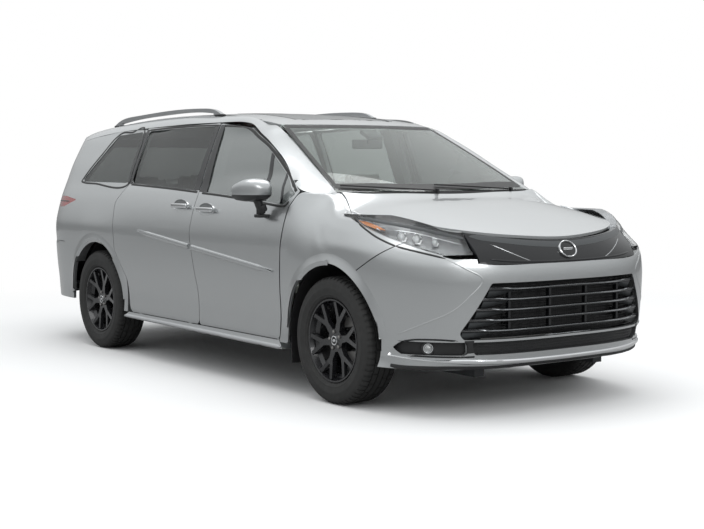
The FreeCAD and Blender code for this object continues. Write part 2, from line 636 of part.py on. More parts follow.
def nose():
    """Bumper cover, dark band and headlamps, all from one wall that runs round the nose."""
    cover = end_slab(NOSE_LEVELS, COVER_WALL, HALF_LENGTH - NOSE_ROUND - 20, True)
    band_low = [(y, z) for y, z in BAND_LOW]
    under_band = smooth_prism([[(-FAR, 200), (FAR, 200)], [(FAR, 200), (FAR, 1000)], [(FAR, 1000), (760, 1000)],
                               [(760, 1000), (760, 883.7)], [(y, z - FIT) for y, z in reversed(band_low)],
                               [(-760, 883.7), (-760, 1000)], [(-760, 1000), (-FAR, 1000)], [(-FAR, 1000), (-FAR, 200)]],
                              "front", 1400, 2700)
    bumper = cover.common(under_band)
    side_cut = right_prism([(BUMPER_LINE[2][0] - 400, 1200), (BUMPER_LINE[0][0] + 2, 1200), (BUMPER_LINE[0][0] + 2, BUMPER_LINE[0][1]),
                            (BUMPER_LINE[1][0] + 2, BUMPER_LINE[1][1] - 2), (BUMPER_LINE[2][0] + 2, BUMPER_LINE[2][1] - 2),
                            (1700, 600), (1400, 600)])
    arch = arch_cylinder(FRONT_AXLE_X)
    lamp_cut = prism([(x, z - 0.4) for x, z in LAMP_LOW_LINE] + [(2640, 1300), (1640, 1300)], "side", -FAR, -430)
    for cutter in (side_cut, arch, lamp_cut):
        bumper = bumper.cut(cutter).cut(mirror(cutter))
    for opening in (GRILLE_OPENING, LOWER_INTAKE, FOG_RECESS, [(-y, z, r) for y, z, r in FOG_RECESS]):
        bumper = bumper.cut(prism(opening, "front", 2000, 2800))
    band_top = [(y, z - 9) for y, z in reversed(HOOD_FRONT_TOP[1:-1])]
    band_zone = smooth_prism([[(y, z + FIT) for y, z in band_low[1:-1]], [(600, 846 + FIT), band_top[0]],
                              band_top, [band_top[-1], (-600, 846 + FIT)]],
                             "front", 2000, 2800)
    above = under_band.copy()
    above.translate(V(0, 0, 0.6))
    band = cover.common(band_zone).cut(hood_room()).cut(above)
    thick = end_slab([z for z in NOSE_LEVELS if z >= 850], 125.0, 1560.0, True)
    lamp = thick.common(right_prism(lamp_outline(-0.4)))
    lamp_top = smooth_prism([[(-950, 1120), (-820, 1096), (-733, 1052), (-604, 1018)], [(-604, 1018), (-622, 925)],
                             [(-622, 925), (-622, 800)], [(-622, 800), (-950, 800)], [(-950, 800), (-950, 1120)]],
                            "front", 1500, 2700)
    return bumper, band, lamp.common(lamp_top).cut(hood_room())


def screen_x(z, y, back=0.0):
    t = (z - SCREEN_BASE[1]) / (SCREEN_TOP[1] - SCREEN_BASE[1])
    x = SCREEN_BASE[0] + t * (SCREEN_TOP[0] - SCREEN_BASE[0]) + 4 * SCREEN_BULGE * t * (1 - t)
    return x - SCREEN_BOW * y * y - back


def windscreen():
    """A bowed and slightly bulged pane between the pillars."""
    wires = []
    for k in range(8):
        z = 1216 + (1640 - 1216) * k / 7
        half = SCREEN_BASE_HALF - (SCREEN_BASE_HALF - SCREEN_TOP_HALF) * (z - 1221) / 411.0 - 0.6
        ys = [half * j / 5 for j in range(-5, 6)]
        wires.append(ring([V(screen_x(z, y), y, z) for y in ys],
                          [V(screen_x(z, y, 13.0), y, z) for y in reversed(ys)]))
    return loft(wires)


ROOF_STATIONS = (700, 600, 450, 250, 0, -400, -900, -1400, -1800, -2100, -2287)


def roof_layer(low, high, stations=ROOF_STATIONS):
    wires = []
    for x in stations:
        ys = (-650, -520, -350, -180, 0, 180, 350, 520, 650)
        top = [V(x, y, roof_z(x) - crown(y) + high) for y in ys]
        base = [V(x, y, roof_z(x) - crown(y) + low) for y in reversed(ys)]
        wires.append(ring(top, base))
    return loft(wires)


MOONROOF = ((440, -400, 60), (440, 400, 60), (-330, 400, 60), (-330, -400, 60))


def roof():
    front = [(screen_x(1640, y, 13.3), y) for y in (-610, -400, -200, 0, 200, 400, 610)]
    side = DITCH_Y
    corner = [front[-1], (480, 623), (425, 631), (370, side - 1)]
    outline = [front, corner, [corner[-1], (-2180, side - 1)],
               [(-2180, side - 1), (-2240, side - 20), (-2282, side - 80)], [(-2282, side - 80), (-2282, 80 - side)],
               [(-2282, 80 - side), (-2240, 20 - side), (-2180, 1 - side)], [(-2180, 1 - side), (370, 1 - side)],
               [(x, -y) for x, y in reversed(corner)]]
    panel = roof_layer(-ROOF_WALL, 0).common(smooth_prism(outline, "plan", 1400, 1900))
    panel = panel.cut(prism(MOONROOF, "plan", 1400, 1900))
    pane = roof_layer(-8, -2, (600, 450, 250, 0, -400, -500)).common(prism([(x - 0.3 * (x > 0) + 0.3 * (x < 0), y * 0.9993, r)
                                                                         for x, y, r in MOONROOF], "plan", 1400, 1900))
    return panel, pane


def sweep_ring(*runs):
    """A solid of revolution about the Y axis from (radius, along) runs."""
    wire = ring(*[[V(r, a, 0) for r, a in run] for run in runs])
    return Part.Face(wire).revolve(V(0, 0, 0), V(0, 1, 0), 360)


# Wheel and tyre, about their own centre, outer side towards -Y
RIM_LIP = 100.0
SPOKES = 6
SPOKE_TURN = 11.0
HUB_FACE = 66.7
DISC_R = 148.0
DISC_FACES = (54.0, 80.0)


def tyre():
    r, w = TYRE_R, TYRE_WIDTH / 2
    bead = RIM_R + 0.6
    outer_out = [(bead + 12, -88), (255, -106), (295, -w), (338, -w + 3), (360, -w + 16), (r, -82)]
    outer_in = [(a, -b) for a, b in reversed(outer_out)]
    cavity = [(bead + 14, 66), (275, 99), (318, 105), (346, 94), (356, 70)]
    return sweep_ring([(bead, -62), (bead, -87)], [(bead, -87), outer_out[0]], outer_out, [(r, -82), (r, 82)], outer_in,
                      [outer_in[-1], (bead, 87)], [(bead, 87), (bead, 62)], cavity, [(356, 70), (356, -70)],
                      [(a, -b) for a, b in reversed(cavity)], [(bead + 14, -66), (bead, -62)])


def polar(r, degrees):
    a = math.radians(degrees)
    return r * math.cos(a), r * math.sin(a)


def wheel():
    """An alloy wheel with forked spokes, its hub and the brake disc behind it."""
    seat = RIM_R
    barrel = sweep_ring([(seat + 12, -RIM_LIP), (seat + 12, -90)], [(seat + 12, -90), (seat, -88)],
                        [(seat, -88), (seat - 2, -60)], [(seat - 2, -60), (seat - 24, -46)],
                        [(seat - 24, -46), (seat - 24, 20)], [(seat - 24, 20), (seat - 7, 60)],
                        [(seat - 7, 60), (seat, 88)], [(seat, 88), (seat + 12, 90)],
                        [(seat + 12, 90), (seat + 12, RIM_LIP)], [(seat + 12, RIM_LIP), (seat + 3, RIM_LIP)],
                        [(seat + 3, RIM_LIP), (seat - 14, 64)], [(seat - 14, 64), (seat - 31, 22)],
                        [(seat - 31, 22), (seat - 31, -50)], [(seat - 31, -50), (seat - 10, -66)],
                        [(seat - 10, -66), (seat + 3, -RIM_LIP)], [(seat + 3, -RIM_LIP), (seat + 12, -RIM_LIP)])
    spokes = []
    for k in range(SPOKES):
        turn = SPOKE_TURN + 360.0 * k / SPOKES
        half = [(52, 26), (118, 8.5), (seat - 2, 16.5), (seat - 2, 10.5), (150, 1.5)]
        points = [polar(r, turn + d) for r, d in half] + [polar(r, turn - d) for r, d in reversed(half)]
        spokes.append(prism([(x, z, 3) for x, z in points], "side", -97, -40))
    star = join(spokes + [tube(V(0, -97, 0), V(0, 1, 0), 66, 57)])
    edge = seat - 2
    dish = revolve([(0, -40), (0, -76), (80, -79), (150, -85), (edge, -96), (edge, -74), (150, -58), (80, -42)], V(0, 0, 0))
    star = star.common(dish)
    hub = sweep_ring([(0, -46), (72, -46)], [(72, -46), (72, DISC_FACES[0])], [(72, DISC_FACES[0]), (DISC_R, DISC_FACES[0])],
                     [(DISC_R, DISC_FACES[0]), (DISC_R, DISC_FACES[1])], [(DISC_R, DISC_FACES[1]), (92, DISC_FACES[1])],
                     [(92, DISC_FACES[1]), (92, 62)], [(92, 62), (45, 62)], [(45, 62), (45, HUB_FACE)],
                     [(45, HUB_FACE), (0, HUB_FACE)], [(0, HUB_FACE), (0, -46)])
    return join([star, barrel, hub])


KING_LOW = V(FRONT_AXLE_X, -753, 205)
KING_TOP = V(FRONT_AXLE_X, -640, 930)
STRUT_LOW = V(FRONT_AXLE_X, -700, 555)
ARM_TOP = 204.7
CALIPER_SPAN = (-28, 44)


def knuckle():
    """The upright with its stub, caliper and strut, which all turn together on the steering axis."""
    x = FRONT_AXLE_X
    upright = prism([(-766, ARM_TOP + 6), (-738, ARM_TOP + 6), (-722, 300, 30), (-716, 430, 30), (-672, 560, 10),
                     (-672, 620, 10), (-724, 620, 10), (-740, 460, 20), (-766, 400, 20)], "front", x - 26, x + 26)
    ball = rod(KING_LOW + (KING_TOP - KING_LOW).normalize() * 1.4, KING_LOW + (KING_TOP - KING_LOW).normalize() * 16, 6)
    stub = rod(V(x, -(WHEEL_Y - HUB_FACE) + FIT, WHEEL_Z), V(x, -720, WHEEL_Z), 42)
    strut = rod(STRUT_LOW, V(x, -655, 800), 27)
    piston = rod(V(x, -658, 780), KING_TOP + (KING_LOW - KING_TOP).normalize() * 2.6, 13)
    seat = tube(V(x, -656, 770), V(0, 0.07, 1), 72, 8)
    inner, outer = DISC_FACES[1] - WHEEL_Y, DISC_FACES[0] - WHEEL_Y
    a0, a1 = CALIPER_SPAN
    sector = prism([polar(60, 8)] + [polar(176, a0 + (a1 - a0) * k / 4) for k in range(5)], "side", outer - 24, inner + 22)
    body = tube(V(0, outer - 22, 0), V(0, 1, 0), 168, inner - outer + 42).cut(tube(V(0, outer - 30, 0), V(0, 1, 0), 112, 200))
    body = body.common(sector)
    slot = tube(V(0, outer - 5, 0), V(0, 1, 0), DISC_R + 7, inner - outer + 10)
    caliper = body.cut(slot)
    caliper.translate(V(x, 0, WHEEL_Z))
    bracket = prism([(x, WHEEL_Z - 40), (x + 150, WHEEL_Z - 50, 20), (x + 150, WHEEL_Z + 80, 20), (x, WHEEL_Z + 60)], "side",
                    inner + 8, inner + 30)
    return join([upright, ball, stub, strut, piston, seat, caliper, bracket])


def subframe():
    """Front cross members, lower arms and the strut towers' lower carriers."""
    x = FRONT_AXLE_X
    parts = [box(x - 270, x - 190, -480, 480, 205, 275), box(x + 150, x + 230, -480, 480, 205, 275),
             box(x - 270, x + 720, -500, -430, 205, 275), box(x - 270, x + 720, 430, 500, 205, 275)]
    for side in (-1, 1):
        arm = prism([(x - 250, side * 480), (x - 50, side * 640, 60), (x - 30, side * 778, 24), (x + 30, side * 778, 24),
                     (x + 46, side * 640, 60), (x + 215, side * 480), (x + 110, side * 480, 20), (x, side * 600, 20),
                     (x - 140, side * 480, 20)], "plan", ARM_TOP - 18, ARM_TOP)
        parts.append(arm)
        parts.append(box(x - 250, x + 215, min(side * 500, side * 470), max(side * 500, side * 470), ARM_TOP - 18, 215))
        parts.append(box(x - 262, x - 202, min(side * 500, side * 440), max(side * 500, side * 440), 270, RAIL_LOW - FIT))
        parts.append(box(x + 640, x + 700, min(side * 500, side * 440), max(side * 500, side * 440), 270, RAIL_LOW - FIT))
    return join(parts)


RAIL_LOW = 470.0
RAIL_HIGH = 560.0
FLOOR_TOP = DOOR_BOTTOM - PANEL_GAP / 2
FLOOR_LOW = FLOOR_TOP - 22
SILL_INNER = HALF_WIDTH - 27 - DOOR_WALL
REAR_FLOOR = 452.0
BULKHEAD_X = 1240.0
HOUSE_WALL_FRONT = 530.0
HOUSE_WALL_REAR = 690.0
LINER_R = ARCH_RADIUS + 1
LINER_WALL = 4.0
LINER_EDGE_FRONT = 950.0
LINER_EDGE_REAR = 884.0


def wheel_space(x, inner, radius):
    return tube(V(x, -FAR, WHEEL_Z + 8), V(0, 1, 0), radius, FAR - inner)


BEAM_FRONT = 2380.0
JACK_X = (950.0, -800.0)
JACK_PAD = 284.0


def floor():
    """Floor, bulkhead, front and rear rails and the strut towers: what carries everything else."""
    low = box(-960, BULKHEAD_X + 12, -(SILL_INNER - FIT), SILL_INNER - FIT, FLOOR_LOW, FLOOR_TOP)
    tub = box(-930, 1180, -868, 868, FLOOR_TOP - 1, FLOOR_TOP + 24)
    rise = box(-975, -955, -880, 880, FLOOR_LOW, REAR_FLOOR)
    rear = box(-1880, -955, -880, 880, REAR_FLOOR - 22, REAR_FLOOR)
    tail_floor = box(-2380, -1870, -790, 790, REAR_FLOOR - 22, REAR_FLOOR)
    bulkhead = box(BULKHEAD_X, BULKHEAD_X + 12, -868, 868, FLOOR_LOW, 1128)
    shelf = box(BULKHEAD_X, 1420, -742, 742, 1116, 1128)
    parts = [low, tub, rise, rear, tail_floor, bulkhead, shelf]
    for side in (-1, 1):
        lo, hi = sorted((side * 440, side * (HOUSE_WALL_FRONT - 6)))
        parts.append(box(BULKHEAD_X, BEAM_FRONT, lo, hi, RAIL_LOW, RAIL_HIGH))
        lo, hi = sorted((side * 560, side * (HOUSE_WALL_FRONT - 8)))
        tower = box(FRONT_AXLE_X - 95, FRONT_AXLE_X + 95, *sorted((side * 524, side * 745)), 930 + FIT, 944)
        leg = box(FRONT_AXLE_X - 95, FRONT_AXLE_X + 95, *sorted((side * 512, side * 524)), RAIL_LOW, 944)
        parts += [tower, leg, box(BULKHEAD_X, FRONT_AXLE_X + 95, *sorted((side * 735, side * 747)), 925, 1000)]
        parts.append(box(-2396, -975, *sorted((side * 480, side * 560)), REAR_FLOOR - 60, REAR_FLOOR - 20))
    parts.append(box(BEAM_FRONT - 16, BEAM_FRONT, -600, 600, RAIL_LOW - 10, RAIL_HIGH + 30))
    for x in JACK_X:
        for side in (-1, 1):
            parts.append(box(x - 45, x + 45, *sorted((side * 815, side * 885)), JACK_PAD, FLOOR_LOW + 1))
    parts.append(box(-2400, -2380, -780, 780, REAR_FLOOR - 22, 780))
    shell = join(parts)
    for cutter in (wheel_space(FRONT_AXLE_X, HOUSE_WALL_FRONT - 2, LINER_R + LINER_WALL + FIT),
                   wheel_space(REAR_AXLE_X, HOUSE_WALL_REAR - 2, LINER_R + LINER_WALL + FIT)):
        keep_low = cutter.common(box(-3000, 3000, -FAR, 0, 0, 915))
        shell = shell.cut(keep_low).cut(mirror(keep_low))
    return shell


def liners():
    """The four wheel arch liners, each a shell over the wheel with its inner wall and mud flap."""
    parts = []
    for x, inner, edge in ((FRONT_AXLE_X, HOUSE_WALL_FRONT, LINER_EDGE_FRONT), (REAR_AXLE_X, HOUSE_WALL_REAR, LINER_EDGE_REAR)):
        z = WHEEL_Z + 8
        shell = tube(V(x, -edge, z), V(0, 1, 0), LINER_R + LINER_WALL, edge - inner)
        shell = shell.cut(tube(V(x, -edge - 10, z), V(0, 1, 0), LINER_R, edge - inner + 10 - LINER_WALL))
        shell = shell.common(box(x - 500, x + 500, -edge, -inner, 330, 1000))
        if x > 0:
            shell = shell.cut(box(x - 150, x + 150, -760, -inner + 1, 300, 1000))
            shell = shell.cut(box(x + 150, x + 500, -edge - 1, -900, 0, 1000))
        else:
            shell = shell.cut(box(x - 120, x + 120, -700, -inner + 1, 300, 620))
        back = x - LINER_R
        flap = prism([(back + 4, 345), (back + 9, 345), (back + 16, 190), (back + 11, 190)], "side", -edge, -760)
        strap = box(back - 2, back + 8, -edge, -760, 334, 346)
        shell = join([shell, flap, strap])
        parts += [shell, mirror(shell)]
    return Part.makeCompound(parts)


def post(x0, x1, levels, clearance, depth):
    wires = []
    for z in levels:
        y = wall_y((x0 + x1) / 2, z) - wall_depth(z) - clearance
        wires.append(Part.makePolygon([V(x0, -y, z), V(x1, -y, z), V(x1, -(y - depth), z), V(x0, -(y - depth), z),
                                       V(x0, -y, z)]))
    return loft(wires)


def sill_frame(sill):
    """The sill with the door's pivot boss and the sliding door's two rests."""
    boss = tube(V(HINGE_X, -HINGE_Y, FLOOR_TOP - 1), V(0, 0, 1), 11, PANEL_GAP - FIT + 1)
    rests = [box(x, x + 40, -960, -940, FLOOR_TOP - 1, FLOOR_TOP + PANEL_GAP - FIT) for x in (-780, -60)]
    return join([sill, boss] + rests)


def pillars():
    """Hinge pillar, wing carrier with its hood rest, and centre pillar, right side."""
    hinge = box(1062, BULKHEAD_X - FIT, -812, -745, FLOOR_TOP + 24 + FIT, 1115)
    hinge = hinge.cut(wheel_space(FRONT_AXLE_X, 600, LINER_R + LINER_WALL + FIT))
    foot = box(BULKHEAD_X + 12 + FIT, 1405, -838, -745, 1128 + FIT, 1178.6)
    pad = side_slab((1275, 1315, 1355, 1390), lambda x: (1134, 1150, 1172), lambda z: 60.0, WING_WALL + FIT)
    rest = box(1390, 1500, -765, -745, 1150, 1200).cut(hood_layer(-HOOD_WALL - FIT, 60))
    centre = post(-30, 84, (FLOOR_TOP + 24 + FIT, 420, 600, 900, 1100, 1210, 1300, 1450, 1600, 1650), 26, 52)
    return [hinge, join([foot, pad, rest]), centre]


def blob(stations, centre_y, centre_z, half_y, half_z, power):
    """A rounded shell form from sections along X; a station is (x, scale)."""
    wires = []
    for x, scale in stations:
        points = []
        for k in range(24):
            a = 2 * math.pi * k / 24
            c, s = math.cos(a), math.sin(a)
            points.append(V(x, centre_y + half_y * scale * math.copysign(abs(c) ** (2 / power), c),
                            centre_z + half_z * scale * math.copysign(abs(s) ** (2 / power), s)))
        spline = Part.BSplineCurve()
        spline.interpolate(Points=points, PeriodicFlag=True)
        wires.append(Part.Wire(spline.toShape()))
    return loft(wires)


MIRROR_AXIS = V(940, -1015, 0)
MIRROR_FOOT = 1078.0


def door_mirror():
    """Folding door mirror: shell, arm and pivot."""
    head = blob([(878, 0.94), (886, 1.0), (915, 1.0), (950, 0.94), (976, 0.8), (990, 0.55)], -1072, 1205, 80, 80, 3.0)
    pivot = tube(V(MIRROR_AXIS.x, MIRROR_AXIS.y, MIRROR_FOOT + FIT), V(0, 0, 1), 17, 100)
    arm = prism([(-1090, 1150, 10), (-1075, 1118, 10), (-1026, 1084, 8), (-1002, 1084, 4), (-1002, 1150, 10)], "front", 922, 958)
    return join([head, pivot, arm])


def mirror_foot():
    return prism([(912, -930), (968, -930), (962, -1036, 12), (918, -1036, 12)], "plan", MIRROR_FOOT - 16, MIRROR_FOOT)


def handle(x, z, length):
    """A pull handle that stands off the door on two feet."""
    y = wall_y(x, z)
    bar = prism([(x - length / 2, z - 13, 12), (x + length / 2, z - 13, 12), (x + length / 2, z + 13, 12),
                 (x - length / 2, z + 13, 12)], "side", -(y + 34), -(y + 20))
    feet = [box(a, a + 26, -(y + 26), -(y - 12), z - 9, z + 9) for a in (x - length / 2 + 6, x + length / 2 - 32)]
    return join([bar] + feet)


def seat(x, y, half_width, top):
    cushion = prism([(x, 470, 30), (x + 520, 490, 50), (x + 530, 610, 60), (x + 60, 580, 40), (x, 580, 40)], "side",
                    y - half_width, y + half_width)
    back = prism([(x - 20, 560, 40), (x + 95, 590, 50), (x - 60, top, 50), (x - 165, top - 10, 50)], "side",
                 y - half_width, y + half_width)
    rest = prism([(x - 78, top + 45, 25), (x - 175, top + 40, 30), (x - 185, top + 165, 40), (x - 105, top + 170, 40)], "side",
                 y - 125, y + 125)
    stalks = [rod(V(x - 115, y + s, top - 25), V(x - 128, y + s, top + 60), 7) for s in (-60, 60)]
    return join([cushion, back, rest] + stalks)


def seat_pair(x, half_width):
    base = FLOOR_TOP + 24 + FIT
    pair = [join([seat(x, y, half_width, 1140), box(x + 85, x + 455, y - 180, y + 180, base, 500)]) for y in (-385, 385)]
    return Part.makeCompound(pair)


def bench():
    parts = [seat(-1530, y, 198, 1120) for y in (-400, 0, 400)]
    parts.append(box(-1440, -1080, -560, 560, REAR_FLOOR + FIT, 500))
    return join(parts)


WHEEL_HUB = V(905, 385, 1005)
WHEEL_TILT = 24.0


def steering_wheel():
    rim = Part.makeTorus(183, 15)
    hub = Part.makeCylinder(58, 40, V(0, 0, -14))
    spokes = [box(-175, 175, -16, 16, -8, 6), box(-14, 14, -175, 0, -8, 6)]
    whole = join([rim, hub] + spokes)
    whole.rotate(V(0, 0, 0), V(0, 0, 1), 90)
    whole.rotate(V(0, 0, 0), V(0, 1, 0), 90 + WHEEL_TILT)
    whole.translate(WHEEL_HUB)
    return whole


def dashboard():
    profile = [(1470, 1190, 5), (1120, 1176, 40), (1030, 1110, 40), (1008, 1010, 40), (1050, 870, 40), (1120, 740, 30),
               (BULKHEAD_X - FIT, 740, 3), (BULKHEAD_X - FIT, 1128.3), (1470, 1128.3)]
    block = prism(profile, "side", -740, 740)
    bow = [(1440 - SCREEN_BOW * y * y, y) for y in (-760, -500, -250, 0, 250, 500, 760)]
    block = block.common(smooth_prism([bow, [bow[-1], (900, 760)], [(900, 760), (900, -760)], [(900, -760), bow[0]]],
                                      "plan", 600, 1300))
    a = math.radians(WHEEL_TILT)
    along = V(math.cos(a), 0, -math.sin(a))
    column = rod(WHEEL_HUB + along * (26 + FIT), WHEEL_HUB + along * 175, 42)
    console = prism([(1120, FLOOR_TOP + 24.3), (1120, 800, 40), (1040, 880, 40), (780, 640, 60), (250, 610, 40),
                     (250, FLOOR_TOP + 24.3)], "side", -105, 105)
    return join([block, column, console])


def grille():
    """Curved slats across the opening on two uprights and a back frame."""
    bars = []
    for k in range(5):
        z = 482 + k * 56
        half = 704 - (z + 8 - 470) * 157 / 272.0 - 1.0
        wires = []
        for level, scale in ((z - 8, 0.0), (z - 3, 6.0), (z + 3, 6.0), (z + 8, 0.0)):
            outer = [V(nose_face_x(z, y) - 18 + scale, y, level) for y in (-half, -half * 0.7, -half * 0.35, 0,
                                                                     half * 0.35, half * 0.7, half)]
            inner = [V(p.x - 24 - scale, p.y, p.z) for p in reversed(outer)]
            wires.append(ring(outer, inner))
        bars.append(loft(wires))
    for y in (-420, -140, 140, 420):
        x = nose_face_x(590, y) - 42
        bars.append(box(x - 14, x + 10, y - 8, y + 8, 476, 716))
    for y in (-420, 420):
        bars.append(box(BEAM_FRONT + FIT, nose_face_x(590, y) - 40, y - 8, y + 8, 500, 560))
    return join(bars)


def nose_face_x(z, y):
    centre = HALF_LENGTH - NOSE_ROUND
    power = through(NOSE_POWER, z)
    half = wall_y(centre, z)
    return centre + (nose_x(z) - centre) * (1 - (abs(y) / half) ** power) ** (1 / power)


def cowl():
    wires = []
    for y in (-735, -500, -250, 0, 250, 500, 735):
        x = screen_x(SCREEN_BASE[1], y)
        profile = [(x + 1, 1215.7), (x + 20, 1180), (x + 40, 1152), (x + 72, 1148), (x + 72, 1138), (x + 30, 1138),
                   (x + 8, 1172), (x - 12, 1215.7)]
        wires.append(Part.makePolygon([V(px, y, pz) for px, pz in profile + profile[:1]]))
    return loft(wires)


def roof_rails():
    def rail_z(x, up):
        return roof_z(x) - crown(DITCH_Y) + up
    top = [(-105, rail_z(-105, 5)), (-190, rail_z(-190, 34)), (-353, rail_z(-353, 47)), (-900, rail_z(-900, 50)),
           (-1400, rail_z(-1400, 48)), (-1640, rail_z(-1640, 36)), (-1745, rail_z(-1745, 5))]
    under = [(-1640, rail_z(-1640, 12)), (-1400, rail_z(-1400, 20)), (-900, rail_z(-900, 22)), (-353, rail_z(-353, 19)),
             (-215, rail_z(-215, 12))]
    foot_low = 1.6
    rail = smooth_prism([top, [top[-1], (-1745, rail_z(-1745, foot_low))],
                         [(-1745, rail_z(-1745, foot_low)), (-1640, rail_z(-1640, foot_low))],
                         [(-1640, rail_z(-1640, foot_low)), under[0]], under, [under[-1], (-215, rail_z(-215, foot_low))],
                         [(-215, rail_z(-215, foot_low)), (-105, rail_z(-105, foot_low))],
                         [(-105, rail_z(-105, foot_low)), top[0]]], "side", -660, -632)
    return Part.makeCompound([rail, mirror(rail)])


def spoiler():
    wires = []
    for y in (-600, -400, -200, 0, 200, 400, 600):
        z = roof_z(-2300) - crown(y)
        tip = -2392 + 9e-5 * y * y
        front = -2294
        profile = [(front, z), (-2340, z - 6), (tip, z - 22), (tip + 4, z - 30), (-2352, z - 40), (front, z - 44)]
        wires.append(Part.makePolygon([V(px, y, pz) for px, pz in profile + profile[:1]]))
    return loft(wires)


BEAM_Z = 300.0


def rear_axle():
    """Twist beam with its end plates, stub axles and two trailing arms."""
    x, z = REAR_AXLE_X, WHEEL_Z
    parts = [rod(V(x + 30, -700, BEAM_Z), V(x + 30, 700, BEAM_Z), 32)]
    for side in (-1, 1):
        parts.append(rod(V(x, side * 700, z), V(x, side * (WHEEL_Y - HUB_FACE - FIT), z), 42))
        parts.append(box(x - 60, x + 80, *sorted((side * 696, side * 728)), BEAM_Z - 36, z + 70))
        parts.append(box(x + 40, x + 468.7, *sorted((side * 480, side * 545)), BEAM_Z - 20, BEAM_Z + 20))
        parts.append(box(x + 430, x + 468.7, *sorted((side * 490, side * 535)), BEAM_Z, REAR_FLOOR - 60 - FIT))
    return join(parts)


def exhaust():
    """Exhaust pipe, muffler and tail pipe on hangers."""
    z = 232
    runs = [V(1300, -250, 262), V(1150, -250, z), V(300, -120, z), V(-1050, -120, z), V(-1500, -320, 214), V(-1950, -420, 300)]
    parts = [rod(runs[k], runs[k + 1], 28) for k in range(len(runs) - 1)]
    parts += [Part.makeSphere(28, p) for p in runs[1:-1]]
    parts.append(prism([(-2350, 240, 50), (-1900, 240, 50), (-1900, 384, 50), (-2350, 384, 50)], "side", -620, -180))
    parts.append(rod(V(-2340, -480, 300), V(-2520, -520, 300), 34))
    parts.append(rod(V(-2100, -300, 370), V(-2100, -300, REAR_FLOOR - 22 - FIT), 10))
    parts.append(rod(V(400, -134, z), V(400, -134, FLOOR_LOW - FIT), 10))
    return join(parts)


def fuel_tank():
    return prism([(-890, 190, 40), (-160, 190, 40), (-160, FLOOR_LOW - FIT, 20), (-890, FLOOR_LOW - FIT, 20)], "side", 20, 620)


def engine():
    """Engine and gearbox as one block on its mounts."""
    block = prism([(1480, 300, 60), (2080, 300, 60), (2120, 700, 60), (2040, 860, 60), (1520, 860, 60), (1460, 700, 60)], "side",
                  -340, 340)
    mounts = [box(1700, 1780, *sorted((side * 330, side * (440 - FIT))), 480, 540) for side in (-1, 1)]
    return join([block] + mounts)


def wipers():
    """Two parked wiper arms with their pivots on the cowl."""
    arms = []
    for y, reach in ((560, 640), (-110, 600)):
        x = screen_x(SCREEN_BASE[1], y)
        foot = prism([(x + 60, 1152.3), (x + 46, 1152.3), (x + 12, 1214), (x + 12, 1232), (x + 32, 1232), (x + 41, 1174),
                      (x + 60, 1164)], "side", y - 16, y)
        wires = []
        for k in range(6):
            yy = y - 2 - (reach - 2) * k / 5.0
            z = 1222 + 34 * k / 5.0
            cx = screen_x(z, yy) + 26
            wires.append(Part.makePolygon([V(cx - 5, yy, z - 4), V(cx + 5, yy, z - 4), V(cx + 5, yy, z + 4),
                                           V(cx - 5, yy, z + 4), V(cx - 5, yy, z - 4)]))
        blade = Part.makeLoft(wires, True, True)
        arms.append(join([foot, blade]))
    return Part.makeCompound(arms)


# Fuel flap, in the left rear quarter
FLAP = ((-1880, 900, 30), (-1710, 900, 8), (-1710, 1040, 8), (-1880, 1040, 30))
FLAP_AXIS = V(-1709, 1000, 0)
FLAP_SECTION = ((989, 890), (1100, 890), (1100, 1050), (962, 1050))
FLAP_POCKET = 935.0


def fuel_flap(quarter):
    """Cut the flap and its pocket out of the left quarter."""
    zone = prism(FLAP, "side", FLAP_POCKET, FAR).common(prism(FLAP_SECTION, "front", -1900, -1690))
    flap = quarter.common(zone)
    pocket = prism(grown(FLAP, PANEL_GAP), "side", FLAP_POCKET, FAR)
    for low, high in ((893, 900 - FIT), (1040 + FIT, 1047)):
        pocket = pocket.cut(box(FLAP_AXIS.x - 6, FLAP_AXIS.x + 6, FLAP_POCKET - 5, FLAP_AXIS.y + 2, low, high))
    return flap, quarter.cut(pocket)


def wheel_set(name, x, left):
    """One wheel with its tyre at its place on the car."""
    for part, shape in (("tyre", TYRE), ("wheel", WHEEL)):
        piece = shape.copy()
        piece.translate(V(x, -WHEEL_Y, WHEEL_Z))
        NODES[part + "_" + name] = mirror(piece) if left else piece


HINGE_CUT = -2290.0

front_door, sliding_door, sill, front_pane, slider_pane = doors()
front_door = join([front_door, mirror_foot(), handle(214, 1090, 200)])
sliding_door = join([sliding_door, handle(-137, 1108, 200)])
quarter, gate, side_lamp, gate_lamp, quarter_pane, gate_pane = tail()
gate = gate.cut(box(HINGE_CUT, -2100, -FAR, FAR, 1560, 1700))
side_lamp = side_lamp.cut(quarter)
bumper, band, lamp = nose()
roof_panel, roof_pane = roof()
screen = windscreen()
fender = wing()
roof_room = roof_layer(-ROOF_WALL - FIT, 60).common(box(-2400, 700, -639.5, 639.5, 1400, 1900))
hinge_pillar, carrier, centre_pillar = pillars()
side_rail = roof_side_rail().cut(roof_room).cut(screen).cut(fender).cut(box(1121, 1149, -894, -838, 1264, 1288))
side_parts = [side_rail, sill_frame(sill), hinge_pillar, carrier.cut(fender), centre_pillar]
flap, left_quarter = fuel_flap(mirror(quarter))
rear_cover = rear_bumper().cut(quarter).cut(mirror(quarter))
TYRE = tyre()
WHEEL = wheel()

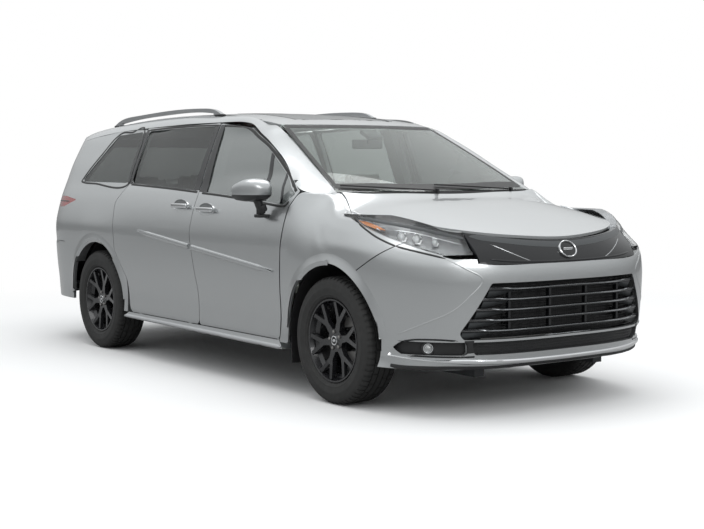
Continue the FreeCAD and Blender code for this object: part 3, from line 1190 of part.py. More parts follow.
NODES["floor_pan"] = floor()
NODES["body_side_right"] = Part.makeCompound([quarter] + side_parts)
NODES["body_side_left"] = Part.makeCompound([left_quarter] + [mirror(p) for p in side_parts])
NODES["roof_panel"] = roof_panel
NODES["roof_glass"] = roof_pane
both("front_fender", fender)
NODES["hood"] = hood()
NODES["front_bumper"] = bumper
NODES["nose_trim"] = band
NODES["grille"] = grille()
both("headlamp", lamp)
NODES["windshield"] = screen
NODES["cowl"] = cowl()
NODES["wipers"] = wipers()
both("front_door", front_door)
both("front_door_glass", front_pane)
both("door_mirror", door_mirror())
both("sliding_door", sliding_door)
NODES["sliding_door_glass"] = Part.makeCompound([slider_pane, mirror(slider_pane)])
NODES["quarter_glass"] = Part.makeCompound([quarter_pane, mirror(quarter_pane)])
NODES["tailgate"] = gate
NODES["tailgate_glass"] = gate_pane
NODES["tailgate_lamps"] = Part.makeCompound([gate_lamp, mirror(gate_lamp)])
NODES["side_lamps"] = Part.makeCompound([side_lamp, mirror(side_lamp)])
NODES["rear_bumper"] = rear_cover
NODES["fuel_flap"] = flap
NODES["roof_rails"] = roof_rails()
NODES["wheel_liners"] = liners()
NODES["front_subframe"] = subframe()
both("knuckle", knuckle())
NODES["rear_axle"] = rear_axle()
NODES["engine"] = engine()
NODES["exhaust"] = exhaust()
NODES["fuel_tank"] = fuel_tank()
NODES["dashboard"] = dashboard()
NODES["steering_wheel"] = steering_wheel()
NODES["front_seats"] = seat_pair(240, 255)
NODES["middle_seats"] = seat_pair(-640, 250)
NODES["rear_bench"] = bench()
wheel_set("front_right", FRONT_AXLE_X, False)
wheel_set("front_left", FRONT_AXLE_X, True)
wheel_set("rear_right", REAR_AXLE_X, False)
wheel_set("rear_left", REAR_AXLE_X, True)

os.makedirs("parts", exist_ok=True)
for name, shape in NODES.items():
    shape.exportStep("parts/" + name + ".step")
    print(name, shape.isValid(), len(shape.Solids))
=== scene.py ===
# %% [markdown]
# A seven-seat family van stands on a plain pale floor, seen a little above the bumper's height.
# Its solids come from a CAD model: the body panels, doors, glass, lamps, seats and wheels.
# This lesson gives those solids their finishes and adds the small parts that a panel model
# leaves out: tyre tread, lamp insides, bright strips, handles, badges, wipers and trim.
# Everything is in metres. X points to the front, Y to the car's left and Z up.

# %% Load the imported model
import math

import bmesh
import bpy
from mathutils import Matrix, Vector
from mathutils.bvhtree import BVHTree


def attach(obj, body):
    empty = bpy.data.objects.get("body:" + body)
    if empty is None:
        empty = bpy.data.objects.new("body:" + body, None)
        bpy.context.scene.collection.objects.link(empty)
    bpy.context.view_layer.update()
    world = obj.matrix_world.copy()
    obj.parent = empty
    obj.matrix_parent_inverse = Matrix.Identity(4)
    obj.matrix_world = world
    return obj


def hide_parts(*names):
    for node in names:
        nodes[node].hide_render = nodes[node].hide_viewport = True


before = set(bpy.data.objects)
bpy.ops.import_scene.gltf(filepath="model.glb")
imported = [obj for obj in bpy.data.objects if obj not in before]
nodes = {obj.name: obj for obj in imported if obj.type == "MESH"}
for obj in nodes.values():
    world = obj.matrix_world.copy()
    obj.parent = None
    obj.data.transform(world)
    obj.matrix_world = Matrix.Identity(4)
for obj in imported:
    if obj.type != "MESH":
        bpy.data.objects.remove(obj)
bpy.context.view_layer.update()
scene = bpy.context.scene
scene.view_settings.view_transform = "Standard"
SIDES = (("right", -1), ("left", 1))

# %% [markdown]
# The camera stands ahead of the car and to its right, as low as a standing adult's chest.
# A long lens flattens the perspective. Its place, aim and focal length were worked out from
# known heights and widths of such a car, so that the render lines up with the view wanted.

# %% Camera
PICTURE = (704, 529)
LENS_MM = 68.76
SENSOR_MM = 36.0
CAMERA_AT = Vector((7.8995, -5.3749, 1.3698))
YAW, PITCH, ROLL = math.radians(35.99), math.radians(4.178), math.radians(-0.145)

camera_data = bpy.data.cameras.new("camera")
camera_data.lens = LENS_MM
camera_data.sensor_width = SENSOR_MM
camera = bpy.data.objects.new("camera", camera_data)
scene.collection.objects.link(camera)
scene.camera = camera
camera.location = CAMERA_AT
aim = Vector((-math.cos(YAW) * math.cos(PITCH), math.sin(YAW) * math.cos(PITCH), -math.sin(PITCH)))
camera_turn = aim.to_track_quat("-Z", "Y").to_matrix() @ Matrix.Rotation(ROLL, 3, "Z")
camera.rotation_euler = camera_turn.to_euler()
print("camera at", tuple(camera.location))

# %% [markdown]
# Silver paint shows its surroundings, so the surroundings are made with care. The sky is bright
# overhead and falls to grey at the horizon, which draws soft bands along the body sides.
# The camera itself sees plain white, as does glass, through the light path switches.

# %% World and lights
world = bpy.data.worlds.new("studio")
scene.world = world
world.use_nodes = True
wn = world.node_tree.nodes
wl = world.node_tree.links
wn.clear()
sky_place = wn.new("ShaderNodeTexCoord")
sky_axes = wn.new("ShaderNodeSeparateXYZ")
sky_height = wn.new("ShaderNodeMapRange")
sky_height.inputs["From Min"].default_value = -1.0
sky_tones = wn.new("ShaderNodeValToRGB")
SKY = ((0.0, 0.26), (0.42, 0.22), (0.495, 0.20), (0.53, 0.34), (0.60, 0.62), (0.72, 0.92), (1.0, 1.05))
sky_tones.color_ramp.elements[0].position = SKY[0][0]
sky_tones.color_ramp.elements[1].position = SKY[-1][0]
for position, _ in SKY[1:-1]:
    sky_tones.color_ramp.elements.new(position)
for element, (position, level) in zip(sky_tones.color_ramp.elements, SKY):
    element.color = (level * 0.98, level, level * 1.01, 1)
sky_light = wn.new("ShaderNodeBackground")
white_back = wn.new("ShaderNodeBackground")
white_back.inputs["Color"].default_value = (1, 1, 1, 1)
rays = wn.new("ShaderNodeLightPath")
either = wn.new("ShaderNodeMath")
either.operation = "MAXIMUM"
choose = wn.new("ShaderNodeMixShader")
world_out = wn.new("ShaderNodeOutputWorld")
wl.new(sky_place.outputs["Generated"], sky_axes.inputs[0])
wl.new(sky_axes.outputs["Z"], sky_height.inputs["Value"])
wl.new(sky_height.outputs["Result"], sky_tones.inputs["Fac"])
wl.new(sky_tones.outputs["Color"], sky_light.inputs["Color"])
wl.new(rays.outputs["Is Camera Ray"], either.inputs[0])
wl.new(rays.outputs["Is Transmission Ray"], either.inputs[1])
wl.new(either.outputs[0], choose.inputs["Fac"])
wl.new(sky_light.outputs[0], choose.inputs[1])
wl.new(white_back.outputs[0], choose.inputs[2])
wl.new(choose.outputs[0], world_out.inputs["Surface"])


def soft_lamp(name, at, toward, size, watts):
    data = bpy.data.lights.new(name, "AREA")
    data.shape = "RECTANGLE"
    data.size, data.size_y = size
    data.energy = watts
    lamp = bpy.data.objects.new(name, data)
    scene.collection.objects.link(lamp)
    lamp.location = at
    lamp.rotation_euler = (Vector(toward) - Vector(at)).to_track_quat("-Z", "Y").to_euler()


soft_lamp("overhead", (0.6, 0.0, 5.2), (0, 0, 0), (7.0, 3.2), 115)
soft_lamp("front_fill", (7.5, -1.5, 3.6), (1.6, -0.2, 0.6), (3.2, 1.6), 60)

# %% [markdown]
# The floor is a wide pale disc that keeps the car's soft shadow. Near the car it is a plain
# matt surface. Further out it turns into the same white as the backdrop, so no edge shows.

# %% Floor
FLOOR_RADIUS = 16.0
FLOOR_TONE, SEEN_TONE = 0.42, 0.93
FADE_FROM, FADE_TO = 3.4, 6.5
bm = bmesh.new()
bmesh.ops.create_circle(bm, cap_ends=True, segments=96, radius=FLOOR_RADIUS)
floor_mesh = bpy.data.meshes.new("floor")
bm.to_mesh(floor_mesh)
bm.free()
floor = bpy.data.objects.new("floor", floor_mesh)
scene.collection.objects.link(floor)
floor_paint = bpy.data.materials.new("floor_white")
floor_paint.use_nodes = True
fn = floor_paint.node_tree.nodes
fl = floor_paint.node_tree.links
fn.clear()
matt = fn.new("ShaderNodeBsdfDiffuse")
glow = fn.new("ShaderNodeEmission")
blend_floor = fn.new("ShaderNodeMixShader")
tone = fn.new("ShaderNodeMix")
tone.data_type = "RGBA"
tone.inputs["A"].default_value = (FLOOR_TONE, FLOOR_TONE, FLOOR_TONE, 1)
tone.inputs["B"].default_value = (SEEN_TONE, SEEN_TONE, SEEN_TONE, 1)
floor_rays = fn.new("ShaderNodeLightPath")
seen = fn.new("ShaderNodeMath")
seen.operation = "MAXIMUM"
where_floor = fn.new("ShaderNodeTexCoord")
reach = fn.new("ShaderNodeVectorMath")
reach.operation = "LENGTH"
fade = fn.new("ShaderNodeMapRange")
fade.inputs["From Min"].default_value = FADE_FROM
fade.inputs["From Max"].default_value = FADE_TO
both = fn.new("ShaderNodeMath")
both.operation = "MULTIPLY"
floor_out = fn.new("ShaderNodeOutputMaterial")
fl.new(floor_rays.outputs["Is Camera Ray"], seen.inputs[0])
fl.new(floor_rays.outputs["Is Transmission Ray"], seen.inputs[1])
fl.new(seen.outputs[0], tone.inputs["Factor"])
fl.new(tone.outputs["Result"], matt.inputs["Color"])
fl.new(where_floor.outputs["Object"], reach.inputs[0])
fl.new(reach.outputs["Value"], fade.inputs["Value"])
fl.new(fade.outputs["Result"], both.inputs[0])
fl.new(seen.outputs[0], both.inputs[1])
fl.new(both.outputs[0], blend_floor.inputs["Fac"])
fl.new(matt.outputs[0], blend_floor.inputs[1])
fl.new(glow.outputs[0], blend_floor.inputs[2])
fl.new(blend_floor.outputs[0], floor_out.inputs["Surface"])
floor_mesh.materials.append(floor_paint)

# %% [markdown]
# Every finish starts the same way: one shader with its plain values, then a texture or two
# that vary its tone, its gloss or its surface. The textures read Object coordinates, which
# stay with the part when a door opens or a wheel turns.

# %% Helpers for finishes


class Finish:
    """A material that is built up in steps: base values first, then variation and surface."""

    def __init__(self, name, colour, roughness, metallic=0.0, **sockets):
        self.material = bpy.data.materials.new(name)
        self.material.use_nodes = True
        self.nodes = self.material.node_tree.nodes
        self.links = self.material.node_tree.links
        self.shader = self.nodes["Principled BSDF"]
        self.colour = tuple(colour) + (1,)
        self.shader.inputs["Base Color"].default_value = self.colour
        self.shader.inputs["Roughness"].default_value = roughness
        self.shader.inputs["Metallic"].default_value = metallic
        for key, value in sockets.items():
            self.shader.inputs[key.replace("_", " ").title().replace("Ior", "IOR")].default_value = value
        self.place = self.nodes.new("ShaderNodeTexCoord")
        self.height = None

    def noise(self, scale, detail=4.0, stretch=(1, 1, 1)):
        grow = self.nodes.new("ShaderNodeMapping")
        grow.inputs["Scale"].default_value = stretch
        spots = self.nodes.new("ShaderNodeTexNoise")
        spots.inputs["Scale"].default_value = scale
        spots.inputs["Detail"].default_value = detail
        self.links.new(self.place.outputs["Object"], grow.inputs["Vector"])
        self.links.new(grow.outputs["Vector"], spots.inputs["Vector"])
        return spots.outputs["Fac"]

    def cells(self, scale):
        spots = self.nodes.new("ShaderNodeTexVoronoi")
        spots.inputs["Scale"].default_value = scale
        self.links.new(self.place.outputs["Object"], spots.inputs["Vector"])
        return spots.outputs["Distance"]

    def bands(self, scale, direction="Z", distortion=0.0):
        lines = self.nodes.new("ShaderNodeTexWave")
        lines.bands_direction = direction
        lines.inputs["Scale"].default_value = scale
        lines.inputs["Distortion"].default_value = distortion
        self.links.new(self.place.outputs["Object"], lines.inputs["Vector"])
        return lines.outputs["Fac"]

    def tone(self, pattern, darker, lighter):
        """The colour runs between two levels of itself as the pattern goes from 0 to 1."""
        ramp = self.nodes.new("ShaderNodeMix")
        ramp.data_type = "RGBA"
        ramp.inputs["A"].default_value = tuple(min(1, c * darker) for c in self.colour[:3]) + (1,)
        ramp.inputs["B"].default_value = tuple(min(1, c * lighter) for c in self.colour[:3]) + (1,)
        self.links.new(pattern, ramp.inputs["Factor"])
        self.links.new(ramp.outputs["Result"], self.shader.inputs["Base Color"])
        return self

    def gloss(self, pattern, low, high):
        """The roughness runs from low to high with the pattern."""
        span = self.nodes.new("ShaderNodeMapRange")
        span.inputs["To Min"].default_value = low
        span.inputs["To Max"].default_value = high
        self.links.new(pattern, span.inputs["Value"])
        self.links.new(span.outputs["Result"], self.shader.inputs["Roughness"])
        return self

    def bump(self, pattern, strength, depth):
        lift = self.nodes.new("ShaderNodeBump")
        lift.inputs["Strength"].default_value = strength
        lift.inputs["Distance"].default_value = depth
        self.links.new(pattern, lift.inputs["Height"])
        if self.height:
            self.links.new(self.height, lift.inputs["Normal"])
        self.height = lift.outputs["Normal"]
        self.links.new(self.height, self.shader.inputs["Normal"])
        return self


def keep(finish):
    """Gives back the finish's material."""
    return finish.material


# %% [markdown]
# Silver car paint is a grey base full of fine aluminium flakes under a clear hard lacquer.
# A high metallic value with a middling roughness gives the flake layer, a cell pattern a few
# tenths of a millimetre wide gives the sparkle, and a coat gives the sharp reflections.

# %% Paints
silver = Finish("silver_paint", (0.50, 0.515, 0.52), 0.30, 0.86, coat_weight=1.0, coat_roughness=0.03)
silver.tone(silver.cells(1400), 0.90, 1.14).bump(silver.noise(9.0, 2.0), 0.02, 0.002)
SILVER = keep(silver)
dark = Finish("dark_paint", (0.035, 0.037, 0.04), 0.55)
dark.tone(dark.noise(14.0), 0.6, 1.5).bump(dark.noise(180.0), 0.2, 0.001)
DARK = keep(dark)
gloss = Finish("gloss_black", (0.007, 0.0075, 0.009), 0.14, 0.0, coat_weight=0.35, coat_roughness=0.02,
               specular_ior_level=0.35)
gloss.gloss(gloss.noise(30.0), 0.09, 0.17)
GLOSS_BLACK = keep(gloss)
satin = Finish("satin_grey", (0.075, 0.08, 0.083), 0.33, 0.35)
satin.gloss(satin.noise(40.0), 0.28, 0.38).bump(satin.noise(400.0), 0.05, 0.0004)
SATIN = keep(satin)

# %% [markdown]
# Plastics are told apart by their grain. Bumper and liner plastic is pebbled, the dashboard is
# softer and finer, and bright strips are plated plastic with a thin satin look.

# %% Plastics, metals and rubber
plastic = Finish("black_plastic", (0.018, 0.018, 0.019), 0.55)
plastic.tone(plastic.noise(20.0), 0.7, 1.4).bump(plastic.cells(420), 0.35, 0.0006)
PLASTIC = keep(plastic)
soft = Finish("soft_black", (0.045, 0.045, 0.048), 0.62)
soft.tone(soft.noise(12.0), 0.8, 1.25).bump(soft.cells(260), 0.3, 0.0008)
SOFT = keep(soft)
chrome = Finish("bright_trim", (0.78, 0.79, 0.80), 0.12, 1.0)
chrome.gloss(chrome.noise(60.0), 0.08, 0.18)
CHROME = keep(chrome)
rail = Finish("silver_trim", (0.50, 0.51, 0.52), 0.30, 0.85)
rail.gloss(rail.noise(50.0, 3.0, (0.1, 1, 1)), 0.24, 0.38).tone(rail.noise(15.0), 0.9, 1.08)
RAIL = keep(rail)
cast = Finish("cast_metal", (0.36, 0.36, 0.35), 0.48, 0.9)
cast.tone(cast.noise(30.0), 0.7, 1.2).bump(cast.noise(220.0), 0.35, 0.0009)
CAST = keep(cast)
steel = Finish("steel", (0.32, 0.31, 0.30), 0.4, 1.0)
steel.tone(steel.noise(18.0), 0.6, 1.25).gloss(steel.noise(35.0), 0.28, 0.55)
STEEL = keep(steel)
disc_steel = Finish("brake_steel", (0.42, 0.41, 0.40), 0.32, 1.0)
disc_steel.tone(disc_steel.noise(60.0, 3.0), 0.8, 1.15).gloss(disc_steel.noise(220.0), 0.24, 0.42)
DISC_STEEL = keep(disc_steel)
rubber = Finish("tyre_rubber", (0.024, 0.024, 0.0235), 0.72)
rubber.tone(rubber.noise(26.0), 0.7, 1.5).gloss(rubber.noise(9.0), 0.6, 0.82)
rubber.bump(rubber.noise(300.0), 0.25, 0.0006)
RUBBER = keep(rubber)
wheel = Finish("wheel_black", (0.014, 0.014, 0.016), 0.25, 0.2, coat_weight=0.7, coat_roughness=0.08)
wheel.gloss(wheel.noise(24.0), 0.2, 0.36).tone(wheel.noise(10.0), 0.8, 1.4)
WHEEL = keep(wheel)
seal = Finish("window_seal", (0.012, 0.012, 0.012), 0.42)
seal.bump(seal.noise(150.0), 0.15, 0.0004).gloss(seal.noise(35.0), 0.36, 0.5)
SEAL = keep(seal)

# %% [markdown]
# The windscreen and front door panes are lightly tinted green. The panes behind the front
# doors are privacy glass, dark grey in the glass itself. Both are solid panes, so the light
# is tinted once on its way in and once on its way out.

# %% Glass and lamp colours
clear = Finish("clear_glass", (0.80, 0.88, 0.84), 0.0, 0.0, transmission_weight=1.0, ior=1.45)
clear.tone(clear.noise(3.0), 0.985, 1.01)
CLEAR = keep(clear)
privacy = Finish("dark_glass", (0.20, 0.215, 0.21), 0.0, 0.0, transmission_weight=1.0, ior=1.5)
privacy.tone(privacy.noise(3.0), 0.94, 1.05)
PRIVACY = keep(privacy)
lens = Finish("lamp_clear", (0.96, 0.97, 0.97), 0.0, 0.0, transmission_weight=1.0, ior=1.3)
lens.tone(lens.noise(20.0), 0.985, 1.0)
LENS = keep(lens)
red = Finish("lamp_red", (0.52, 0.012, 0.014), 0.08, 0.0, transmission_weight=0.35, coat_weight=1.0)
red.tone(red.bands(38.0, "Z"), 0.62, 1.12)
RED = keep(red)
amber = Finish("lamp_amber", (0.86, 0.27, 0.05), 0.12, 0.0, coat_weight=1.0)
amber.tone(amber.bands(60.0, "X"), 0.75, 1.1)
AMBER = keep(amber)
white_lamp = Finish("lamp_white", (0.86, 0.88, 0.90), 0.22, 0.0, coat_weight=0.6)
white_lamp.tone(white_lamp.bands(90.0, "Z"), 0.9, 1.06)
WHITE_LAMP = keep(white_lamp)
mirror_face = Finish("mirror_glass", (0.80, 0.82, 0.84), 0.02, 1.0)
mirror_face.tone(mirror_face.noise(2.0), 0.98, 1.02)
MIRROR = keep(mirror_face)

# %% [markdown]
# The seats are covered in a light grey woven cloth. Two crossed wave patterns make the weave,
# and a slow noise lets the cloth darken a little where it is sat on.

# %% Cloth
cloth = Finish("seat_fabric", (0.36, 0.35, 0.335), 0.86, sheen_weight=0.35)
cloth.tone(cloth.noise(7.0), 0.82, 1.1)
cloth.bump(cloth.bands(240.0, "Z", 0.6), 0.3, 0.0006).bump(cloth.bands(240.0, "Y", 0.6), 0.3, 0.0006)
CLOTH = keep(cloth)

# %% [markdown]
# The CAD solids arrive with a named material slot each. Every slot gets the finish of its name.

# %% Dress the CAD solids
DRESS = {
    "silver_paint": SILVER, "dark_paint": DARK, "gloss_black": GLOSS_BLACK, "black_plastic": PLASTIC,
    "soft_black": SOFT, "lamp_clear": LENS, "lamp_red": RED, "clear_glass": CLEAR, "dark_glass": PRIVACY,
    "silver_trim": RAIL, "cast_metal": CAST, "steel": STEEL, "seat_fabric": CLOTH, "tyre_rubber": RUBBER,
    "wheel_black": WHEEL,
}
for node in nodes.values():
    for place, old in enumerate(node.data.materials):
        node.data.materials[place] = DRESS[old.name.split(".")[0]]
print("dressed", len(nodes))

# %% [markdown]
# Small parts have to sit on the body's curved skin. A search tree of the CAD triangles gives
# the nearest point of the skin and which way it faces, so trim can be laid on it exactly.
# A point that is easiest to name in the picture is found by looking from the camera.

# %% Finding the car's skin
CAR_AWAY = 8.6


def skin(*names):
    shell = bmesh.new()
    for name in names:
        shell.from_mesh(nodes[name].data)
    tree = BVHTree.FromBMesh(shell)
    shell.free()
    return tree


def nearest(tree, point):
    where, facing, _, _ = tree.find_nearest(Vector(point))
    return where, facing


def looked_at(tree, column, row):
    """The skin under a point of the picture, counted in its pixels."""
    focal = LENS_MM / SENSOR_MM * PICTURE[0]
    spot = Vector((column - PICTURE[0] / 2, PICTURE[1] / 2 - row, -focal))
    ray = (camera_turn @ spot).normalized()
    where, _, _, _ = tree.ray_cast(CAMERA_AT, ray)
    return where if where is not None else nearest(tree, CAMERA_AT + ray * CAR_AWAY)[0]


def seen_spots(tree, pixels, s):
    """The right side's skin under points of the picture, mirrored when the left is wanted."""
    found = [looked_at(tree, column, row) for column, row in pixels]
    return [Vector((p.x, -p.y, p.z)) for p in found] if s > 0 else found


def dropped(tree, point, toward):
    """The skin that a straight line from a point meets, or else the nearest skin."""
    where, _, _, _ = tree.ray_cast(Vector(point), Vector(toward).normalized())
    return where if where is not None else nearest(tree, point)[0]


def from_front(tree, points):
    return [dropped(tree, (3, y, z), (-1, 0, 0)) for y, z in points]


def from_behind(tree, points):
    return [dropped(tree, (-3.2, y, z), (1, 0, 0)) for y, z in points]


def from_above(tree, points):
    return [dropped(tree, (x, y, 2.2), (0, 0, -1)) for x, y in points]


def smooth_point(p0, p1, p2, p3, t):
    """A point between p1 and p2 on the curve that also heeds their neighbours."""
    return 0.5 * (2 * p1 + (p2 - p0) * t + (2 * p0 - 5 * p1 + 4 * p2 - p3) * t * t
                  + (3 * p1 - p0 - 3 * p2 + p3) * t ** 3)


def soft_line(points, steps, closed=False):
    """Evenly spaced stations on a smooth curve through a few points."""
    spots = [Vector(p) for p in points]
    n = len(spots)
    spans = n if closed else n - 1
    fine = []
    for k in range(spans):
        p1, p2 = spots[k], spots[(k + 1) % n]
        p0 = spots[k - 1] if closed or k > 0 else 2 * p1 - p2
        p3 = spots[(k + 2) % n] if closed or k + 2 < n else 2 * p2 - p1
        fine += [smooth_point(p0, p1, p2, p3, j / 16) for j in range(16)]
    fine.append(spots[0].copy() if closed else spots[-1].copy())
    lengths = [0.0]
    for a, b in zip(fine, fine[1:]):
        lengths.append(lengths[-1] + (b - a).length)
    stations = []
    k = 0
    for j in range(steps + 1):
        want = lengths[-1] * j / steps
        while k < len(fine) - 2 and lengths[k + 1] < want:
            k += 1
        span = max(lengths[k + 1] - lengths[k], 1e-9)
        stations.append(fine[k].lerp(fine[k + 1], min(1.0, (want - lengths[k]) / span)))
    return stations


# %% [markdown]
# Every new piece ends the same way. Its bmesh becomes a named object that rides on a body of
# the car and takes one finish. Most pieces are strips laid on the skin, turned forms, or blocks
# with rounded edges, so each of these has a helper.

# %% Making pieces


def add_piece(name, bm, body, finish, sharp=35.0):
    """Turns a bmesh into a named piece that rides on a body of the car."""
    mesh = bpy.data.meshes.new(name)
    bmesh.ops.recalc_face_normals(bm, faces=bm.faces[:])
    bm.to_mesh(mesh)
    bm.free()
    mesh.shade_smooth()
    mesh.set_sharp_from_angle(angle=math.radians(sharp))
    mesh.materials.append(finish)
    piece = bpy.data.objects.new(name, mesh)
    scene.collection.objects.link(piece)
    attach(piece, body)
    return piece


def new_verts(result):
    return [g for g in result["geom"] if isinstance(g, bmesh.types.BMVert)]


def unit_grid(columns, rows):
    """A flat sheet one metre square, to be bent into place."""
    bm = bmesh.new()
    bmesh.ops.create_grid(bm, x_segments=columns, y_segments=rows, size=0.5)
    return bm


def woven(rows, closed=False):
    """A sheet through rows of points. Closed rows make it a tube."""
    bm = bmesh.new()
    lines = [[bm.verts.new(p) for p in row] for row in rows]
    for near, far in zip(lines, lines[1:]):
        for k in range(len(near) if closed else len(near) - 1):
            j = (k + 1) % len(near)
            bm.faces.new((near[k], near[j], far[j], far[k]))
    return bm


def solid_wall(bm, shift):
    """Make a sheet solid: a copy of it is moved by shift, and side faces join the two."""
    grown = bmesh.ops.extrude_face_region(bm, geom=bm.faces[:], use_keep_orig=True)
    for v in new_verts(grown):
        v.co += shift(v.co) if callable(shift) else Vector(shift)
    bmesh.ops.recalc_face_normals(bm, faces=bm.faces[:])
    return bm


def strip(name, tree, points, width, height, body, finish, steps=24, across=4, closed=False,
          shape=None, fade=0.0, sink=0.001, buried=False):
    """A raised strip laid on the skin along a line. The fade narrows both of its ends.
    A buried strip starts below the skin and stays there, as a lamp's insides do."""
    stations = soft_line(points, steps, closed)
    bm = unit_grid(across, steps)
    rise = bm.verts.layers.float_vector.new("rise")
    for v in bm.verts:
        over, along = v.co.x, v.co.y + 0.5
        j = round(along * steps)
        here = stations[j]
        after = stations[1] if closed and j == steps else stations[min(j + 1, steps)]
        before = stations[steps - 1] if closed and j == 0 else stations[max(j - 1, 0)]
        _, facing = nearest(tree, here)
        sideways = facing.cross(after - before).normalized()
        narrow = 1.0
        if fade and not closed:
            narrow = max(0.06, min(1.0, along / fade, (1.0 - along) / fade)) ** 0.6
        wide = width(along) if callable(width) else width
        foot, facing = nearest(tree, here + sideways * over * wide * narrow)
        top = height * (shape(over + 0.5) if shape else 1.0 - (2 * over) ** 4 * 0.55)
        v.co = foot - facing * sink
        v[rise] = facing * (top if buried else sink + max(top, 0.0004))
    for v in new_verts(bmesh.ops.extrude_face_region(bm, geom=bm.faces[:])):
        v.co += v[rise]
    if closed:
        bmesh.ops.remove_doubles(bm, verts=bm.verts[:], dist=0.0003)
    return add_piece(name, bm, body, finish)


def turning(axis):
    return Vector((0, 0, 1)).rotation_difference(Vector(axis).normalized()).to_matrix().to_4x4()


def lathe(profile, at, axis, steps=48, stretch=(1, 1), twist=0.0):
    """A turned form. The profile is radius and height, closed if it starts and ends off the axis."""
    bm = bmesh.new()
    verts = [bm.verts.new((r, 0, h)) for r, h in profile]
    edges = [bm.edges.new(pair) for pair in zip(verts, verts[1:])]
    if profile[0][0] > 1e-6 and profile[-1][0] > 1e-6:
        edges.append(bm.edges.new((verts[-1], verts[0])))
    bmesh.ops.spin(bm, geom=verts + edges, cent=(0, 0, 0), axis=(0, 0, 1), angle=2 * math.pi, steps=steps,
                   use_merge=True, use_duplicate=False)
    bmesh.ops.remove_doubles(bm, verts=bm.verts[:], dist=0.00002)
    place = Matrix.Translation(Vector(at)) @ turning(axis) @ Matrix.Rotation(twist, 4, "Z")
    place = place @ Matrix.Diagonal((stretch[0], stretch[1], 1, 1))
    bmesh.ops.transform(bm, matrix=place, verts=bm.verts[:])
    return bm


def block(size, at, round_by, turn=None):
    """A box with rounded edges."""
    bm = bmesh.new()
    bmesh.ops.create_cube(bm, size=1.0)
    bmesh.ops.scale(bm, vec=size, verts=bm.verts[:])
    bmesh.ops.bevel(bm, geom=bm.edges[:], offset=round_by, affect="EDGES", segments=3, profile=0.5,
                    material=-1)
    place = Matrix.Translation(Vector(at)) @ (turn.to_4x4() if turn else Matrix.Identity(4))
    bmesh.ops.transform(bm, matrix=place, verts=bm.verts[:])
    return bm


def joined(*parts):
    """Several bmeshes in one."""
    whole = bmesh.new()
    for part in parts:
        spare = bpy.data.meshes.new("spare")
        part.to_mesh(spare)
        part.free()
        whole.from_mesh(spare)
        bpy.data.meshes.remove(spare)
    return whole


print("helpers ready")

# %% [markdown]
# A road tyre has a tread cut by four grooves around it and by short cross cuts at its
# shoulders. The section is drawn once and spun round the axle. The cross cuts come from
# pushing every third row of shoulder faces inwards, so they are real gaps in the mesh.

# %% Tyres
AXLES = {"front": 1.617, "rear": -1.444}
WHEEL_Y, WHEEL_Z = 0.855, 0.3695
TYRE_R = 0.3695
TREAD_STEPS = 192
GROOVES = (-0.058, -0.020, 0.020, 0.058)
GROOVE_HALF, GROOVE_DEEP = 0.0045, 0.0075
CUT_DEEP = 0.0045
SIDEWALL = ((0.2300, 0.0880), (0.2420, 0.0890), (0.2520, 0.1040), (0.2620, 0.1085), (0.2650, 0.1115),
            (0.2720, 0.1115), (0.2750, 0.1125), (0.2950, 0.1160), (0.3020, 0.1172), (0.3060, 0.1172),
            (0.3090, 0.1160), (0.3300, 0.1150), (0.3400, 0.1125), (0.3520, 0.1060), (0.3600, 0.0990),
            (0.3660, 0.0900), (0.3690, 0.0800))


def tyre_section():
    tread = []
    for g in reversed(GROOVES):
        crown = TYRE_R - 4.0 * abs(g) ** 3
        tread += [(crown, g + GROOVE_HALF), (crown - GROOVE_DEEP, g + GROOVE_HALF * 0.7),
                  (crown - GROOVE_DEEP, g - GROOVE_HALF * 0.7), (crown, g - GROOVE_HALF)]
    inner = [(r, -y) for r, y in reversed(SIDEWALL)]
    return list(SIDEWALL) + tread + inner + [(0.2300, -0.0600), (0.2420, 0.0)]


def make_tyre(x, side):
    bm = bmesh.new()
    verts = [bm.verts.new((r, side * y, 0)) for r, y in tyre_section()]
    edges = [bm.edges.new((verts[k - 1], verts[k])) for k in range(len(verts))]
    bmesh.ops.spin(bm, geom=verts + edges, cent=(0, 0, 0), axis=(0, 1, 0), angle=2 * math.pi,
                   steps=TREAD_STEPS, use_merge=True, use_duplicate=False)
    bmesh.ops.remove_doubles(bm, verts=bm.verts[:], dist=0.00001)
    cuts, pores = [], []
    for face in bm.faces:
        c = face.calc_center_median()
        row = int(math.degrees(math.atan2(c.z, c.x)) % 360 * TREAD_STEPS / 360)
        reach = math.hypot(c.x, c.z)
        if 0.0645 < abs(c.y) < 0.104 and reach > 0.3545 and row % 3 == 0:
            cuts.append(face)
        if 0.026 < abs(c.y) < 0.052 and reach > 0.367 and row % 6 == (1 if c.y > 0 else 4):
            pores.append(face)
    for chosen in (cuts, pores):
        for v in new_verts(bmesh.ops.extrude_face_region(bm, geom=chosen)):
            v.co -= Vector((v.co.x, 0, v.co.z)).normalized() * CUT_DEEP
        bmesh.ops.delete(bm, geom=[f for f in chosen if f.is_valid], context="FACES_ONLY")
    bmesh.ops.translate(bm, vec=(x, side * WHEEL_Y, WHEEL_Z), verts=bm.verts[:])
    return bm


for axle, x in AXLES.items():
    for side_name, s in SIDES:
        tag = "%s_%s" % (axle, side_name)
        tread = add_piece("tyre_tread_" + tag, make_tyre(x, s), "wheel_" + tag, RUBBER, 30)
        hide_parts("tyre_" + tag)
print("tyre faces", len(tread.data.polygons))

# %% [markdown]
# The dark alloy wheels are CAD solids. They get a centre cap with a bright ring, five wheel
# nuts, a valve and a bare steel brake disc that shows between the spokes.

